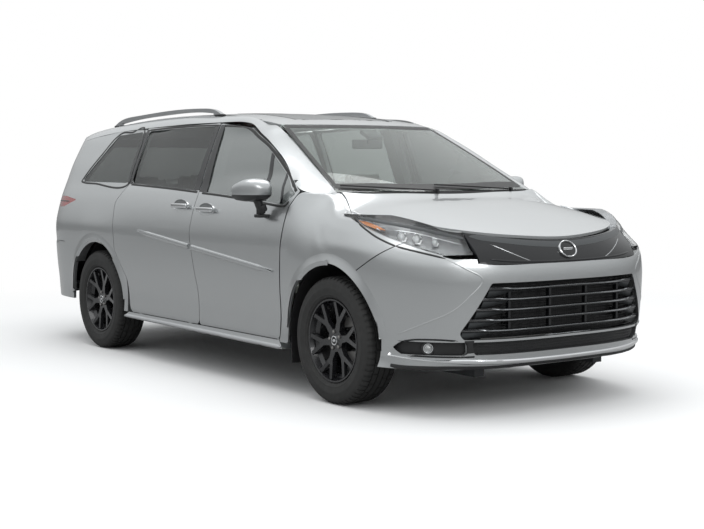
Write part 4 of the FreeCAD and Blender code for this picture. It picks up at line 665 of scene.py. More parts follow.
# %% Wheel details
FACE_OUT = 0.0795
DISC_IN = 0.0538
NUTS, NUT_CIRCLE = 5, 0.050
NUT_R, NUT_TALL = 0.0105, 0.013
NUT_SECTION = ((0, NUT_TALL), (NUT_R * 0.55, NUT_TALL), (NUT_R, NUT_TALL * 0.72), (NUT_R, 0), (0, 0))
CAP_SECTION = ((0, 0.0075), (0.018, 0.0072), (0.024, 0.006), (0.0265, 0.003), (0.0265, -0.004),
               (0, -0.004))
CAP_RING = ((0.0215, 0.0085), (0.0245, 0.0095), (0.0275, 0.0085), (0.0285, 0.004), (0.0285, -0.003),
            (0.021, -0.003))
CAP_MARK = ((0, 0.0100), (0.006, 0.0098), (0.0075, 0.0085), (0.0075, 0.002), (0, 0.002))
VALVE = ((0, 0.032), (0.0035, 0.031), (0.004, 0.02), (0.003, 0.018), (0.003, -0.012), (0, -0.012))
ROTOR = ((0.075, 0.0), (0.075, 0.0012), (0.146, 0.0012), (0.1485, 0.0), (0.1485, -0.027),
         (0.146, -0.0285), (0.1475, -0.0285), (0.1495, -0.027), (0.1495, 0.0015), (0.146, 0.0026),
         (0.074, 0.0026), (0.074, 0.0))
for axle, x in AXLES.items():
    for side_name, s in SIDES:
        tag = "%s_%s" % (axle, side_name)
        body = "wheel_" + tag
        face = Vector((x, s * (WHEEL_Y + FACE_OUT), WHEEL_Z))
        out = Vector((0, s, 0))
        add_piece("hub_cap_" + tag, lathe(CAP_SECTION, face, out), body, GLOSS_BLACK)
        ring = lathe(CAP_RING, face, out)
        mark = lathe(CAP_MARK, face, out, 24, (1.9, 1.0))
        add_piece("hub_ring_" + tag, joined(ring, mark), body, CHROME)
        nuts = []
        for k in range(NUTS):
            a = math.radians(90 + 360 / NUTS * k + 11)
            spot = face + Vector((math.cos(a) * NUT_CIRCLE, -s * 0.004, math.sin(a) * NUT_CIRCLE))
            nuts.append(lathe(NUT_SECTION, spot, out, 6))
        add_piece("wheel_nuts_" + tag, joined(*nuts), body, STEEL)
        stem = Vector((x + 0.128, s * (WHEEL_Y + 0.060), WHEEL_Z + 0.150))
        add_piece("valve_" + tag, lathe(VALVE, stem, out, 12), body, PLASTIC)
        rotor = lathe(ROTOR, (x, s * (WHEEL_Y - DISC_IN), WHEEL_Z), out, 72)
        add_piece("brake_disc_" + tag, rotor, body, DISC_STEEL)
print("wheels done")

# %% [markdown]
# A headlamp is a clear cover over a dark tray. The CAD lamp is one thick solid, so its outer
# faces are lifted off as the cover, and a copy of them is pushed in and given side walls as the
# tray. Projector cells, a white light guide and an amber lamp then have room between the two.

# %% Headlamps
bezel = Finish("lamp_bezel", (0.34, 0.35, 0.36), 0.26, 0.8)
bezel.tone(bezel.noise(12.0), 0.6, 1.3).bump(bezel.bands(70.0, "Z"), 0.25, 0.0015)
BEZEL = keep(bezel)
COVER_THICK = 0.0025
TRAY_DEPTH, TRAY_RIM = 0.058, 0.006


def lamp_out(s):
    """The way a headlamp faces: ahead, outwards and a little up."""
    return Vector((0.70, s * 0.70, 0.10)).normalized()


def lamp_front(side_name, s):
    bm = bmesh.new()
    bm.from_mesh(nodes["headlamp_" + side_name].data)
    bmesh.ops.remove_doubles(bm, verts=bm.verts[:], dist=0.00001)
    bm.normal_update()
    hidden = [f for f in bm.faces if f.normal.dot(lamp_out(s)) < 0.45]
    bmesh.ops.delete(bm, geom=hidden, context="FACES")
    return bm


for side_name, s in SIDES:
    out = lamp_out(s)
    cover = lamp_front(side_name, s)
    bmesh.ops.translate(cover, vec=-out * 0.001, verts=cover.verts[:])
    add_piece("headlamp_cover_" + side_name, solid_wall(cover, -out * COVER_THICK), "body", LENS)
    tray = lamp_front(side_name, s)
    bmesh.ops.translate(tray, vec=-out * TRAY_DEPTH, verts=tray.verts[:])
    rim = [e for e in tray.edges if e.is_boundary]
    walls = bmesh.ops.extrude_edge_only(tray, edges=rim)
    bmesh.ops.translate(tray, vec=out * (TRAY_DEPTH - TRAY_RIM), verts=new_verts(walls))
    middle = sum((v.co for v in tray.verts), Vector()) / len(tray.verts)
    solid_wall(tray, lambda at: (middle - at).normalized() * 0.003 - out * 0.002)
    bowl = add_piece("headlamp_tray_" + side_name, tray, "body", BEZEL)
    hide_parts("headlamp_" + side_name)

# %% [markdown]
# Three projector cells with bright rims stand in the tray. A white light guide runs along the
# lower edge, an amber lamp fills the outer tip, and bright fins follow the top. Their lines are
# picked in the picture and laid below the cover's skin.

# %% Lamp insides
LAMP_CELLS = ((401.0, 236.5, 0.031), (416.0, 239.0, 0.031), (434.0, 242.5, 0.022))
REFLECTOR = ((0.72, -0.012), (0.74, 0.006), (1.0, 0.012), (1.06, 0.010), (1.02, -0.012))
DOME = ((0.0, 0.011), (0.3, 0.0095), (0.55, 0.004), (0.70, -0.006), (0.0, -0.006))
LAMP_LINES = (
    ("guide", ((379, 229.5), (390, 239), (404, 246.5), (424, 252), (444, 257.5)),
     0.021, 0.006, WHITE_LAMP, 28, 0.2, 0.016),
    ("amber", ((358, 219.5), (366, 222.5), (375, 226), (384, 229)), 0.022, 0.006, AMBER, 16, 0.3, 0.016),
    ("fins", ((392, 229), (412, 231.5), (440, 238), (462, 243.5)), 0.007, 0.008, CHROME, 24, 0.15, 0.020),
)
lamp_skin = skin("headlamp_right")
cells = [(looked_at(lamp_skin, u, v) - lamp_out(-1) * 0.034, r) for u, v, r in LAMP_CELLS]
print("lamp cells", [tuple(round(c, 3) for c in p) for p, r in cells])
for side_name, s in SIDES:
    rings, domes = [], []
    toward = Vector((1, s * 0.25, 0.02))
    for spot, radius in cells:
        at = Vector((spot.x, spot.y * -s, spot.z))
        ring = [(radius * share, height) for share, height in REFLECTOR]
        rings.append(lathe(ring, at, toward, 6, (1.1, 0.9), math.radians(12)))
        dome = [(radius * share, height) for share, height in DOME]
        domes.append(lathe(dome, at, toward, 32, (1.1, 0.9)))
    add_piece("headlamp_reflectors_" + side_name, joined(*rings), "body", CHROME, 20)
    add_piece("headlamp_projectors_" + side_name, joined(*domes), "body", WHITE_LAMP)
    lamp_tree = skin("headlamp_" + side_name)
    for part, pixels, wide, tall, finish, steps, fade_by, sink in LAMP_LINES:
        strip("headlamp_%s_%s" % (part, side_name), lamp_tree, seen_spots(lamp_skin, pixels, s), wide, tall,
              "body", finish, steps, fade=fade_by, sink=sink, buried=True)
print("headlamps done")

# %% [markdown]
# A thick black line frames each lamp from below, and a satin grey strip runs from the lamp's
# top over the nose, with the gloss black panel under it. These are thin strips on the skin.

# %% Lamp frames and the nose panel
FRAME_PIXELS = ((354, 218.5), (364, 228), (378, 238), (397, 246.5), (420, 252.5), (446, 259))
TOP_PIXELS = ((357, 217.8), (384, 222.3), (410, 227.0), (440, 233.5), (470, 240.5))
NOSE_SEAM = ((0.50, 0.946), (0.42, 0.908), (0.34, 0.872), (0.27, 0.846))
NOSE_BEND = 0.444
front_skin = skin("headlamp_right", "front_fender_right", "front_bumper", "hood", "nose_trim")
band_skin = skin("nose_trim")
for side_name, s in SIDES:
    lamp_tree = skin("headlamp_" + side_name)
    around_lamp = skin("headlamp_" + side_name, "front_fender_" + side_name, "front_bumper")
    strip("lamp_frame_" + side_name, around_lamp, seen_spots(front_skin, FRAME_PIXELS, s), 0.011, 0.0025,
          "body", SEAL, 40, 3, fade=0.06)
    strip("lamp_brow_" + side_name, lamp_tree, seen_spots(front_skin, TOP_PIXELS, s), 0.020, 0.002,
          "body", SATIN, 32, 3, fade=0.1)


def nose_top(y):
    """Height of the nose panel's upper edge, which climbs faster past a bend."""
    if abs(y) < NOSE_BEND:
        return 0.961 + 0.034 * (abs(y) / NOSE_BEND) ** 1.8
    return 0.995 + 0.14 * (abs(y) - NOSE_BEND)


def nose_foot(y):
    return 0.846 + 0.012 * (abs(y) / 0.45) ** 3


upper = [(y, nose_top(y) - 0.026) for y in (-0.585, -0.45, -0.3, -0.15, 0, 0.15, 0.3, 0.45, 0.585)]
strip("nose_strip", band_skin, from_front(band_skin, upper), 0.038, 0.0016, "body", SATIN, 64, fade=0.05)
for side_name, s in SIDES:
    seam = from_front(band_skin, [(s * y, z) for y, z in NOSE_SEAM])
    strip("nose_seam_" + side_name, band_skin, seam, 0.0045, 0.0016, "body", RAIL, 20, 2, fade=0.15)
lower = from_front(band_skin, [(y, nose_foot(y)) for y in (-0.54, -0.4, -0.2, 0, 0.2, 0.4, 0.54)])
strip("nose_lower_edge", band_skin, lower, 0.012, 0.003, "body", GLOSS_BLACK, 60, 3, fade=0.05)

# %% [markdown]
# The badge is left generic: a plain oval ring with a small bar in it, standing on a dark dish.
# Turned forms are spun from a section and squeezed to an oval.

# %% Nose badge
OVAL = (0.86, 1.08)
RING_SECTION = ((0.050, 0.002), (0.052, 0.009), (0.056, 0.011), (0.060, 0.009), (0.062, 0.002),
                (0.060, -0.004), (0.051, -0.004))
DISH_SECTION = ((0, 0.003), (0.035, 0.0035), (0.051, 0.002), (0.051, -0.004), (0, -0.004))
above_badge, below_badge = from_front(band_skin, [(0, 0.934), (0, 0.874)])
climb = above_badge - below_badge
ahead = Vector((climb.z, 0, -climb.x)).normalized()
badge = (above_badge + below_badge) / 2 + ahead * 0.004
ring = lathe(RING_SECTION, badge, ahead, 64, OVAL)
bar = block((0.006, 0.070, 0.014), badge + ahead * 0.007, 0.0028)
add_piece("badge_ring", joined(ring, bar), "body", CHROME)
add_piece("badge_dish", lathe(DISH_SECTION, badge, ahead, 48, OVAL), "body", GLOSS_BLACK)

# %% [markdown]
# The grille's CAD slats are plain bars. Each gets a thin bright edge and, past a kink near its
# end, a dark blade that widens outwards. The blade is a flat grid bent along the slat.

# %% Grille
slat_skin = skin("grille")
edge_finish = Finish("slat_edge", (0.30, 0.31, 0.32), 0.28, 0.8)
edge_finish.gloss(edge_finish.noise(80.0), 0.18, 0.34)
SLAT_EDGE = keep(edge_finish)
SLATS, LOWEST_SLAT, SLAT_PITCH = 5, 0.482, 0.056
OPENING_HALF, OPENING_FOOT, OPENING_LEAN = 0.700, 0.470, 0.577
BLADE_LONG = 0.20
BLADE_STEPS = 10
for k in range(SLATS):
    z = LOWEST_SLAT + SLAT_PITCH * k
    half = OPENING_HALF - (z + 0.008 - OPENING_FOOT) * OPENING_LEAN - 0.006
    bend = half - BLADE_LONG
    edge = ((-half, 0.0075), (-bend, 0.0005), (-bend * 0.5, 0.003), (0, 0.004), (bend * 0.5, 0.003),
            (bend, 0.0005), (half, 0.0075))
    line = from_front(slat_skin, [(y, z + up) for y, up in edge])
    strip("slat_edge_%d" % k, slat_skin, line, 0.0045, 0.0022, "body", SLAT_EDGE, 90, 2)
    for side_name, s in SIDES:
        spots = [(s * y, z) for y in (half - 0.004, half - 0.07, half - 0.14, bend)]
        stations = soft_line(from_front(slat_skin, spots), BLADE_STEPS)
        bm = unit_grid(BLADE_STEPS, 4)
        for v in bm.verts:
            t, up = v.co.x + 0.5, v.co.y + 0.5
            tall = 0.044 * (1 - t) + 0.006 * t
            v.co = stations[round(t * BLADE_STEPS)] + Vector((-0.006 - 0.024 * up, 0, -0.004 - up * tall))
        solid_wall(bm, (-0.0015, 0, -0.001))
        add_piece("slat_blade_%d_%s" % (k, side_name), bm, "body", SATIN)

# %% [markdown]
# Behind the slats a fine net and a dark panel close the opening. A grid is bent to the line of
# the slats, and the wireframe operator turns its edges into wires.

# %% Net and panel behind the slats
NET_HALF, NET_STEPS = 0.62, 20
NET_STEP = 0.062
NET_MEASURED = NET_HALF - 0.0001
net_line = from_front(slat_skin, [(-NET_HALF + NET_STEP * i, 0.594) for i in range(NET_STEPS + 1)])


def net_x(y):
    """How far forward the slats reach at y, between the measured places."""
    t = (min(max(y, -NET_MEASURED), NET_MEASURED) + NET_HALF) / NET_STEP
    i = min(int(t), NET_STEPS - 1)
    return net_line[i].x + (net_line[i + 1].x - net_line[i].x) * (t - i)


def opening_sheet(bm, low, high, wide_low, wide_high, back):
    for v in bm.verts:
        z = low + (v.co.y + 0.5) * (high - low)
        half = wide_low + (v.co.y + 0.5) * (wide_high - wide_low)
        y = v.co.x * 2 * half
        v.co = Vector((net_x(y) - back - max(0.0, abs(y) - NET_HALF) * 0.75, y, z))


def wire_net(bm, thickness):
    bmesh.ops.wireframe(bm, faces=bm.faces[:], thickness=thickness, offset=0.0, use_replace=True,
                        use_boundary=True, use_even_offset=False, use_crease=False,
                        use_relative_offset=False)
    return bm


net = unit_grid(72, 18)
opening_sheet(net, 0.446, 0.736, 0.685, 0.535, 0.034)
add_piece("grille_net", wire_net(net, 0.0022), "body", GLOSS_BLACK)
panel = unit_grid(40, 4)
opening_sheet(panel, 0.436, 0.745, 0.700, 0.560, 0.078)
add_piece("grille_panel", solid_wall(panel, (-0.003, 0, 0)), "body", PLASTIC)
print("grille done")

# %% [markdown]
# The bumper's lower part is laid out by angle round the nose: a low intake with its net, a
# pointed recess with a fog lamp at each end, and the bright lip that sweeps up round it.

# %% Lower bumper
bumper_skin = skin("front_bumper")
NOSE_CENTRE = Vector((1.65, 0, 0))
fog_glass = Finish("fog_glass", (0.42, 0.43, 0.43), 0.12, 0.6, coat_weight=1.0, coat_roughness=0.02)
fog_glass.bump(fog_glass.bands(160.0, "Z"), 0.3, 0.0008)
FOG_GLASS = keep(fog_glass)


def outwards(degrees):
    a = math.radians(degrees)
    return Vector((math.cos(a), math.sin(a), 0))


def around(degrees, z):
    """The bumper's skin at an angle round the nose and a height."""
    ray = outwards(degrees)
    level = Vector((0, 0, z))
    where, _, _, _ = bumper_skin.ray_cast(NOSE_CENTRE + ray * 1.8 + level, -ray)
    return where if where is not None else nearest(bumper_skin, NOSE_CENTRE + ray * 0.9 + level)[0]


def around_line(spots, s=1):
    return [around(s * degrees, z) for degrees, z in spots]


def inward(depth):
    return lambda at: (NOSE_CENTRE - at).normalized() * depth


def recess_sheet(bm, reach, low, high, back):
    for v in bm.verts:
        angle = -reach + 2 * reach * (v.co.x + 0.5)
        bottom, top = around(angle, low - 0.012), around(angle, high + 0.012)
        v.co = bottom.lerp(top, v.co.y + 0.5) - outwards(angle) * back
    return bm


sheet = recess_sheet(unit_grid(96, 3), 67, 0.346, 0.430, 0.030)
add_piece("intake_panel", solid_wall(sheet, inward(0.003)), "body", PLASTIC)
net = recess_sheet(unit_grid(110, 6), 36, 0.352, 0.424, 0.012)
add_piece("intake_net", wire_net(net, 0.002), "body", GLOSS_BLACK)

# %% [markdown]
# A bright lip sweeps along the foot of the bumper and turns up at both ends, where it gets
# thinner. A black edge runs below it.

# %% Bumper lips
LIP_HALF = ((66, 0.400), (64.5, 0.366), (60, 0.336), (50, 0.324), (40, 0.318), (28, 0.310), (14, 0.307))
LOWER_LIP = (68, 60, 50, 40, 20, 0, -20, -40, -50, -60, -68)
INTAKE_TOP = (40, 34, 25, 12, 0, -12, -25, -34, -40)


def lip_width(along):
    """Narrow at the two upturned ends and wide along the front."""
    middle = 1 - abs(2 * along - 1)
    return 0.009 + 0.020 * min(1, max(0, (middle - 0.30) / 0.16)) if middle > 0.02 else 0.006


lip = around_line(LIP_HALF) + [around(0, 0.306)] + around_line(reversed(LIP_HALF), -1)
strip("bumper_lip", bumper_skin, lip, lip_width, 0.012, "body", CHROME, 120, 5, fade=0.03)
under = around_line((d, 0.281) for d in LOWER_LIP)
strip("bumper_lower_lip", bumper_skin, under, 0.022, 0.004, "body", PLASTIC, 90, fade=0.04)

# %% [markdown]
# Each recess ends in a point towards the wheel. A silver patch closes it there, and a dark rim
# frames it. The fog lamp is three turned parts: a bowl, a ring and a lens.

# %% Fog lamp recesses
FOG_EDGE = ((37, 0.437), (46, 0.437), (54, 0.436), (58.5, 0.424), (62, 0.390), (58.5, 0.356), (54, 0.346),
            (46, 0.344), (37, 0.344))
FOG_ANGLE = 51
FOG_PARTS = (
    ("bowl", ((0.027, 0.004), (0.030, 0.010), (0.036, 0.010), (0.040, 0.004), (0.040, -0.01),
              (0.027, -0.01)), 48, PLASTIC),
    ("ring", ((0.023, 0.006), (0.0245, 0.0095), (0.027, 0.0095), (0.028, 0.006), (0.028, -0.01),
              (0.023, -0.01)), 48, CHROME),
    ("lens", ((0, 0.010), (0.010, 0.009), (0.019, 0.006), (0.0235, 0.002), (0.0235, -0.004), (0, -0.004)),
     40, FOG_GLASS),
)
POST_PIXELS = ((469.5, 341.0), (469.5, 347.0), (469.5, 353.5))
CREASE_PIXELS = ((447, 260), (466, 269), (483, 280), (470, 297), (452, 312), (424, 324), (398, 334))
RECESS_END = 66.2


def tip_start(up):
    """Angle at which the recess closes, by height: it ends in a point at mid height."""
    return 57.0 + 5.0 * (1 - abs(2 * up - 1) ** 1.3)


for side_name, s in SIDES:
    patch = unit_grid(14, 16)
    for v in patch.verts:
        t, up = v.co.x + 0.5, v.co.y + 0.5
        angle = tip_start(up) + (RECESS_END - tip_start(up)) * t
        low, high = around(s * angle, 0.332), around(s * angle, 0.440)
        v.co = low.lerp(high, up) + outwards(s * angle) * (0.0015 - 0.004 * (1 - t))
    add_piece("recess_end_" + side_name, solid_wall(patch, inward(0.006)), "body", SILVER)
    edge = around_line(FOG_EDGE, s)
    strip("fog_surround_" + side_name, bumper_skin, edge, 0.010, 0.003, "body", GLOSS_BLACK, 60)
    low, high = around(s * FOG_ANGLE, 0.338), around(s * FOG_ANGLE, 0.440)
    at = low.lerp(high, 0.48) - outwards(s * FOG_ANGLE) * 0.026
    for part, section, steps, finish in FOG_PARTS:
        turned = lathe(section, at, (0.86, s * 0.5, 0), steps)
        add_piece("fog_%s_%s" % (part, side_name), turned, "body", finish)
    post = seen_spots(bumper_skin, POST_PIXELS, s)
    strip("intake_post_" + side_name, bumper_skin, post, 0.052, 0.002, "body", PLASTIC, 12, 6)
    crease = seen_spots(bumper_skin, CREASE_PIXELS, s)
    strip("bumper_crease_" + side_name, bumper_skin, crease, 0.010, 0.0022, "body", SILVER, 60, fade=0.12)
middle_bar = around_line((d, 0.440) for d in INTAKE_TOP)
strip("intake_bar", bumper_skin, middle_bar, 0.033, 0.002, "body", PLASTIC, 110, 5)
top_edge = around_line((d, 0.438) for d in INTAKE_TOP)
strip("intake_edge", bumper_skin, top_edge, 0.009, 0.006, "body", SLAT_EDGE, 90, 3)
for side_name, s in SIDES:
    fill = unit_grid(12, 5)
    for v in fill.verts:
        t, up = v.co.x + 0.5, v.co.y + 0.5
        spot = looked_at(bumper_skin, 447.0 + 32.0 * t, 262.5 + 4.5 * t)
        spot += Vector((-0.012 * up - 0.003, 0, 0.040 * up * (0.35 + 0.65 * t)))
        v.co = Vector((spot.x, spot.y * -s, spot.z))
    add_piece("nose_corner_" + side_name, solid_wall(fill, (-0.004, 0, 0)), "body", SILVER)
print("front done")

# %% [markdown]
# Black strips frame the side windows and cover the door posts, so that the glass reads as one
# long band. Each is laid on the door or side that carries it, and stops at that part's edge.

# %% Window frames and door posts
FRONT_BELT = ((0.088, 1.195), (0.372, 1.181), (0.75, 1.156), (1.09, 1.131), (1.150, 1.160))
FRONT_TOP = ((1.190, 1.222), (1.10, 1.282), (1.004, 1.344), (0.768, 1.474), (0.560, 1.558),
             (0.376, 1.623), (0.10, 1.641))
SLIDER_BELT = ((0.014, 1.2005), (-0.42, 1.221), (-0.853, 1.2375), (-0.98, 1.242))
SLIDER_TOP = ((0.006, 1.647), (-0.478, 1.649), (-0.962, 1.636))
QUARTER_EDGE = ((-1.052, 1.633), (-1.25, 1.626), (-1.445, 1.613), (-1.63, 1.462), (-1.825, 1.280),
                (-1.812, 1.252), (-1.60, 1.243), (-1.034, 1.244))
# Strips: name, the CAD node they lie on, line, width and height.
FRAMES = (
    ("belt_strip_front", "front_door", FRONT_BELT, 0.015, 0.003),
    ("window_head_front", "front_door", FRONT_TOP, 0.021, 0.0025),
    ("belt_strip_middle", "sliding_door", SLIDER_BELT, 0.015, 0.003),
    ("window_head_middle", "sliding_door", SLIDER_TOP, 0.013, 0.0025),
)
# Posts: name, node, (z, x of one edge, x of the other) at the foot and at the head, and the x
# at which the skin's place is read. Without one it is read at each point.
POSTS = (
    ("post_cover_front", "front_door", (1.203, 0.0445, 0.142), (1.650, 0.0445, 0.097), 0.064),
    ("post_cover_middle", "sliding_door", (1.213, -0.042, 0.0325), (1.652, -0.012, 0.0325), 0.024),
    ("post_cover_rear", "sliding_door", (1.245, -1.005, -0.974), (1.640, -1.005, -0.966), -0.990),
    ("post_cover_quarter", "body_side", (1.250, -1.048, -1.0165), (1.622, -1.056, -1.0165), -1.034),
    ("vent_post_front", "front_door_glass", (1.146, 1.058, 1.082), (1.330, 0.994, 1.016), None),
    ("vent_post_rear", "front_door_glass", (1.158, 0.845, 0.889), (1.452, 0.764, 0.800), None),
)
POST_ROWS, POST_COLUMNS = 12, 3


def on_side(tree, s, line):
    """Points of the side's skin at the given x and z."""
    spots = []
    for x, z in line:
        where, _, _, _ = tree.ray_cast(Vector((x, s * 1.4, z)), Vector((0, -s, 0)))
        if where is None or where.y * s < 0.5:
            where, _ = nearest(tree, (x, s * (0.922 - 0.41 * max(0.0, z - 1.2)), z))
        spots.append(where)
    return spots


def post_sheet(tree, s, foot, head, probe):
    """A thin flat cover between two levels."""
    rows = []
    for k in range(POST_ROWS + 1):
        t = k / POST_ROWS
        z, xa, xb = (foot[i] * (1 - t) + head[i] * t for i in range(3))
        row = []
        for j in range(POST_COLUMNS + 1):
            x = xa + (xb - xa) * j / POST_COLUMNS
            y = on_side(tree, s, [(x if probe is None else probe, z)])[0].y
            row.append((x, y + s * 0.002, z))
        rows.append(row)
    return solid_wall(woven(rows), (0, -s * 0.003, 0))


def carrier(node, side_name):
    """The front door's own parts ride on it. The rest of the side stays with the body."""
    return "front_door_" + side_name if node.startswith("front_door") else "body"


for side_name, s in SIDES:
    for name, node, line, wide, tall in FRAMES:
        tree = skin(node + "_" + side_name)
        strip(name + "_" + side_name, tree, on_side(tree, s, line), wide, tall, carrier(node, side_name),
              SEAL, 60, 3)
    for name, node, foot, head, probe in POSTS:
        sheet = post_sheet(skin(node + "_" + side_name), s, foot, head, probe)
        add_piece(name + "_" + side_name, sheet, carrier(node, side_name), GLOSS_BLACK)
    flank = skin("body_side_" + side_name)
    strip("quarter_frame_" + side_name, flank, on_side(flank, s, QUARTER_EDGE), 0.014, 0.003, "body",
          SEAL, 120, 3, closed=True)

# %% [markdown]
# In daylight the front door panes reflect more than they show. Their glass is made a little
# metallic, so that the cabin behind them stays dim.

# %% Front door panes
side_glass = Finish("side_glass", (0.30, 0.325, 0.32), 0.03, 0.35, transmission_weight=0.62, ior=1.5,
                    coat_weight=1.0, coat_roughness=0.01)
side_glass.gloss(side_glass.noise(9.0), 0.02, 0.05)
SIDE_GLASS = keep(side_glass)
for side_name, s in SIDES:
    nodes["front_door_glass_" + side_name].data.materials[0] = SIDE_GLASS
print("window frames done")

# %% [markdown]
# A slim moulding crosses both doors and sinks towards the front. Its upper edge is bright.
# The sill ends in a silver lip, and a raised band follows the edge of each wheel arch.

# %% Mouldings, sill lips and arch bands
MOULDING_SLOPE = -0.1021
ARCH_Z, ARCH_R = 0.3775, 0.440
BAND_R = ARCH_R + 0.029
SILL_LIP = ((-0.985, 0.292), (-0.5, 0.290), (0.2, 0.287), (0.8, 0.283), (1.12, 0.281))
ARCH_SKIN = {"front": ("front_fender_%s", "front_bumper"), "rear": ("body_side_%s", "rear_bumper")}
ARCH_STOP = {"front": 176, "rear": 178}
ARCH_START = 4
ARCH_STEPS = 12


def moulding_z(x, lift=0.0):
    return 0.914 + (x + 0.724) * MOULDING_SLOPE + lift


def thin_front(full):
    return lambda along: full * max(0.12, min(1.0, (1.0 - along) / 0.16)) ** 0.7


def thin_rear(full):
    return lambda along: full * max(0.12, min(1.0, along / 0.2)) ** 0.7


MOULDINGS = (
    ("front", "front_door", (0.050, 0.40, 0.75, 1.039), thin_front),
    ("middle", "sliding_door", (-0.724, -0.45, -0.2, 0.006), thin_rear),
)
for side_name, s in SIDES:
    for part, node, stations, thin in MOULDINGS:
        tree = skin(node + "_" + side_name)
        body = carrier(node, side_name)
        low = [(x, s * 0.99, moulding_z(x)) for x in stations]
        high = [(x, s * 0.99, moulding_z(x, 0.011)) for x in stations]
        strip("moulding_%s_%s" % (part, side_name), tree, low, thin(0.036), 0.013, body, SILVER, 60, 5)
        strip("moulding_edge_%s_%s" % (part, side_name), tree, high, thin(0.007), 0.0145, body, CHROME, 60, 3)
    sill = skin("body_side_" + side_name)
    lip = [(x, s * 0.985, z) for x, z in SILL_LIP]
    strip("sill_lip_" + side_name, sill, lip, 0.026, 0.008, "body", RAIL, 80, fade=0.015)
    for axle, x in AXLES.items():
        panel_name, bumper_name = ARCH_SKIN[axle]
        tree = skin(panel_name % side_name, bumper_name)
        line = []
        for k in range(ARCH_STEPS + 1):
            a = math.radians(ARCH_START + (ARCH_STOP[axle] - ARCH_START) * k / ARCH_STEPS)
            line.append((x + math.cos(a) * BAND_R, s * 0.985, ARCH_Z + math.sin(a) * BAND_R))
        strip("arch_band_%s_%s" % (axle, side_name), tree, line, 0.054, 0.012, "body", SILVER, 72, 5,
              shape=(lambda u: u ** 1.2) if s < 0 else (lambda u: (1 - u) ** 1.2))

# %% [markdown]
# By the windscreen a narrow gap is left between each wing and the hood. A thin sheet closes
# it, built in rows from its outer edge to its inner one.

# %% Edges between the wings and the hood
WING_EDGE = (
    (1.405, 0.810, 1.2075, 0.772, 1.216), (1.43, 0.804, 1.202, 0.770, 1.213),
    (1.46, 0.795, 1.188, 0.7705, 1.206), (1.50, 0.791, 1.160, 0.7705, 1.177),
    (1.55, 0.803, 1.1235, 0.783, 1.132), (1.60, 0.819, 1.101, 0.807, 1.104),
    (1.65, 0.830, 1.0915, 0.823, 1.091),
)
for side_name, s in SIDES:
    rows = []
    for x, ya, za, yb, zb in WING_EDGE:
        crown = (x, s * (ya + yb) / 2, (za + zb) / 2 + 0.0015)
        rows.append(((x, s * ya, za), crown, (x, s * yb, zb)))
    add_piece("wing_edge_" + side_name, solid_wall(woven(rows), (0, 0, -0.003)), "body", SILVER)
print("side trim done")

# %% [markdown]
# Each door handle is a bright bar over an oval with a bright rim. Inside the rim a nearly flat
# disc of darker silver is painted shade, standing in for the hollow cup behind the handle that
# the CAD door lacks. The bar's body and feet are in the CAD door, and a thin plated cover goes over it.

# %% Door handles
# Painted shade: a silver darker than the body paint, so that the flat disc inside the rim reads as a hollow.
cup_shade = Finish("handle_cup", (0.30, 0.31, 0.315), 0.34, 0.8)
cup_shade.tone(cup_shade.noise(25.0), 0.85, 1.1)
CUP_SHADE = keep(cup_shade)
HANDLES = (("front", "front_door", 0.214, 1.090), ("middle", "sliding_door", -0.137, 1.108))
HANDLE_OVAL = (1.08, 0.46)
RIM_SECTION = ((0.085, 0.001), (0.088, 0.006), (0.092, 0.006), (0.095, 0.001), (0.095, -0.004),
               (0.085, -0.004))
SHADE_DISC_SECTION = ((0, 0.0016), (0.05, 0.0018), (0.0855, 0.003), (0.0855, -0.004), (0, -0.004))
for side_name, s in SIDES:
    for part, node, x, z in HANDLES:
        body = carrier(node, side_name)
        tag = "%s_%s" % (part, side_name)
        tree = skin(node + "_" + side_name)
        levels = (z, z + 0.03, z - 0.03)
        outer, above, below = (dropped(tree, (x, s * 1.3, at), (0, -s, 0)) for at in levels)
        wall = (above + below) / 2 + Vector((-0.018, 0, 0))
        facing = Vector((0, s, 0.12)).normalized()
        add_piece("handle_rim_" + tag, lathe(RIM_SECTION, wall, facing, 64, HANDLE_OVAL), body, CHROME)
        # The flat disc carries the painted shade of the handle's recess.
        add_piece("handle_cup_" + tag, lathe(SHADE_DISC_SECTION, wall, facing, 48, HANDLE_OVAL), body, CUP_SHADE)
        grip = block((0.203, 0.012, 0.030), outer + Vector((0, -s * 0.0045, 0)), 0.0058)
        key = block((0.030, 0.004, 0.020), outer + Vector((0.074, s * 0.001, 0)), 0.0018)
        add_piece("handle_cover_" + tag, joined(grip, key), body, CHROME)
print("handles done")

# %% [markdown]
# The door mirrors have a painted cap over a black lower shell. One material does both, with a
# sharp step at the parting height, because the height of a point on the part never changes.
# Sections along X make a swept head in place of the CAD block, and the black arm joins its foot.

# %% Door mirrors
SPLIT_Z = 1.199
CAP_COLOUR = (0.50, 0.515, 0.52)
two_tone = Finish("mirror_shell", CAP_COLOUR, 0.30, 0.0, coat_weight=0.35, coat_roughness=0.03)
axes = two_tone.nodes.new("ShaderNodeSeparateXYZ")
above_split = two_tone.nodes.new("ShaderNodeMath")
above_split.operation = "GREATER_THAN"
above_split.inputs[1].default_value = SPLIT_Z
paint_mix = two_tone.nodes.new("ShaderNodeMix")
paint_mix.data_type = "RGBA"
paint_mix.inputs["A"].default_value = (0.014, 0.014, 0.015, 1)
paint_mix.inputs["B"].default_value = CAP_COLOUR + (1,)
metal_mix = two_tone.nodes.new("ShaderNodeMapRange")
metal_mix.inputs["To Max"].default_value = 0.86
rough_mix = two_tone.nodes.new("ShaderNodeMapRange")
rough_mix.inputs["To Min"].default_value = 0.42
rough_mix.inputs["To Max"].default_value = 0.30
two_tone.links.new(two_tone.place.outputs["Object"], axes.inputs[0])
two_tone.links.new(axes.outputs["Z"], above_split.inputs[0])
two_tone.links.new(above_split.outputs[0], paint_mix.inputs["Factor"])
two_tone.links.new(above_split.outputs[0], metal_mix.inputs["Value"])
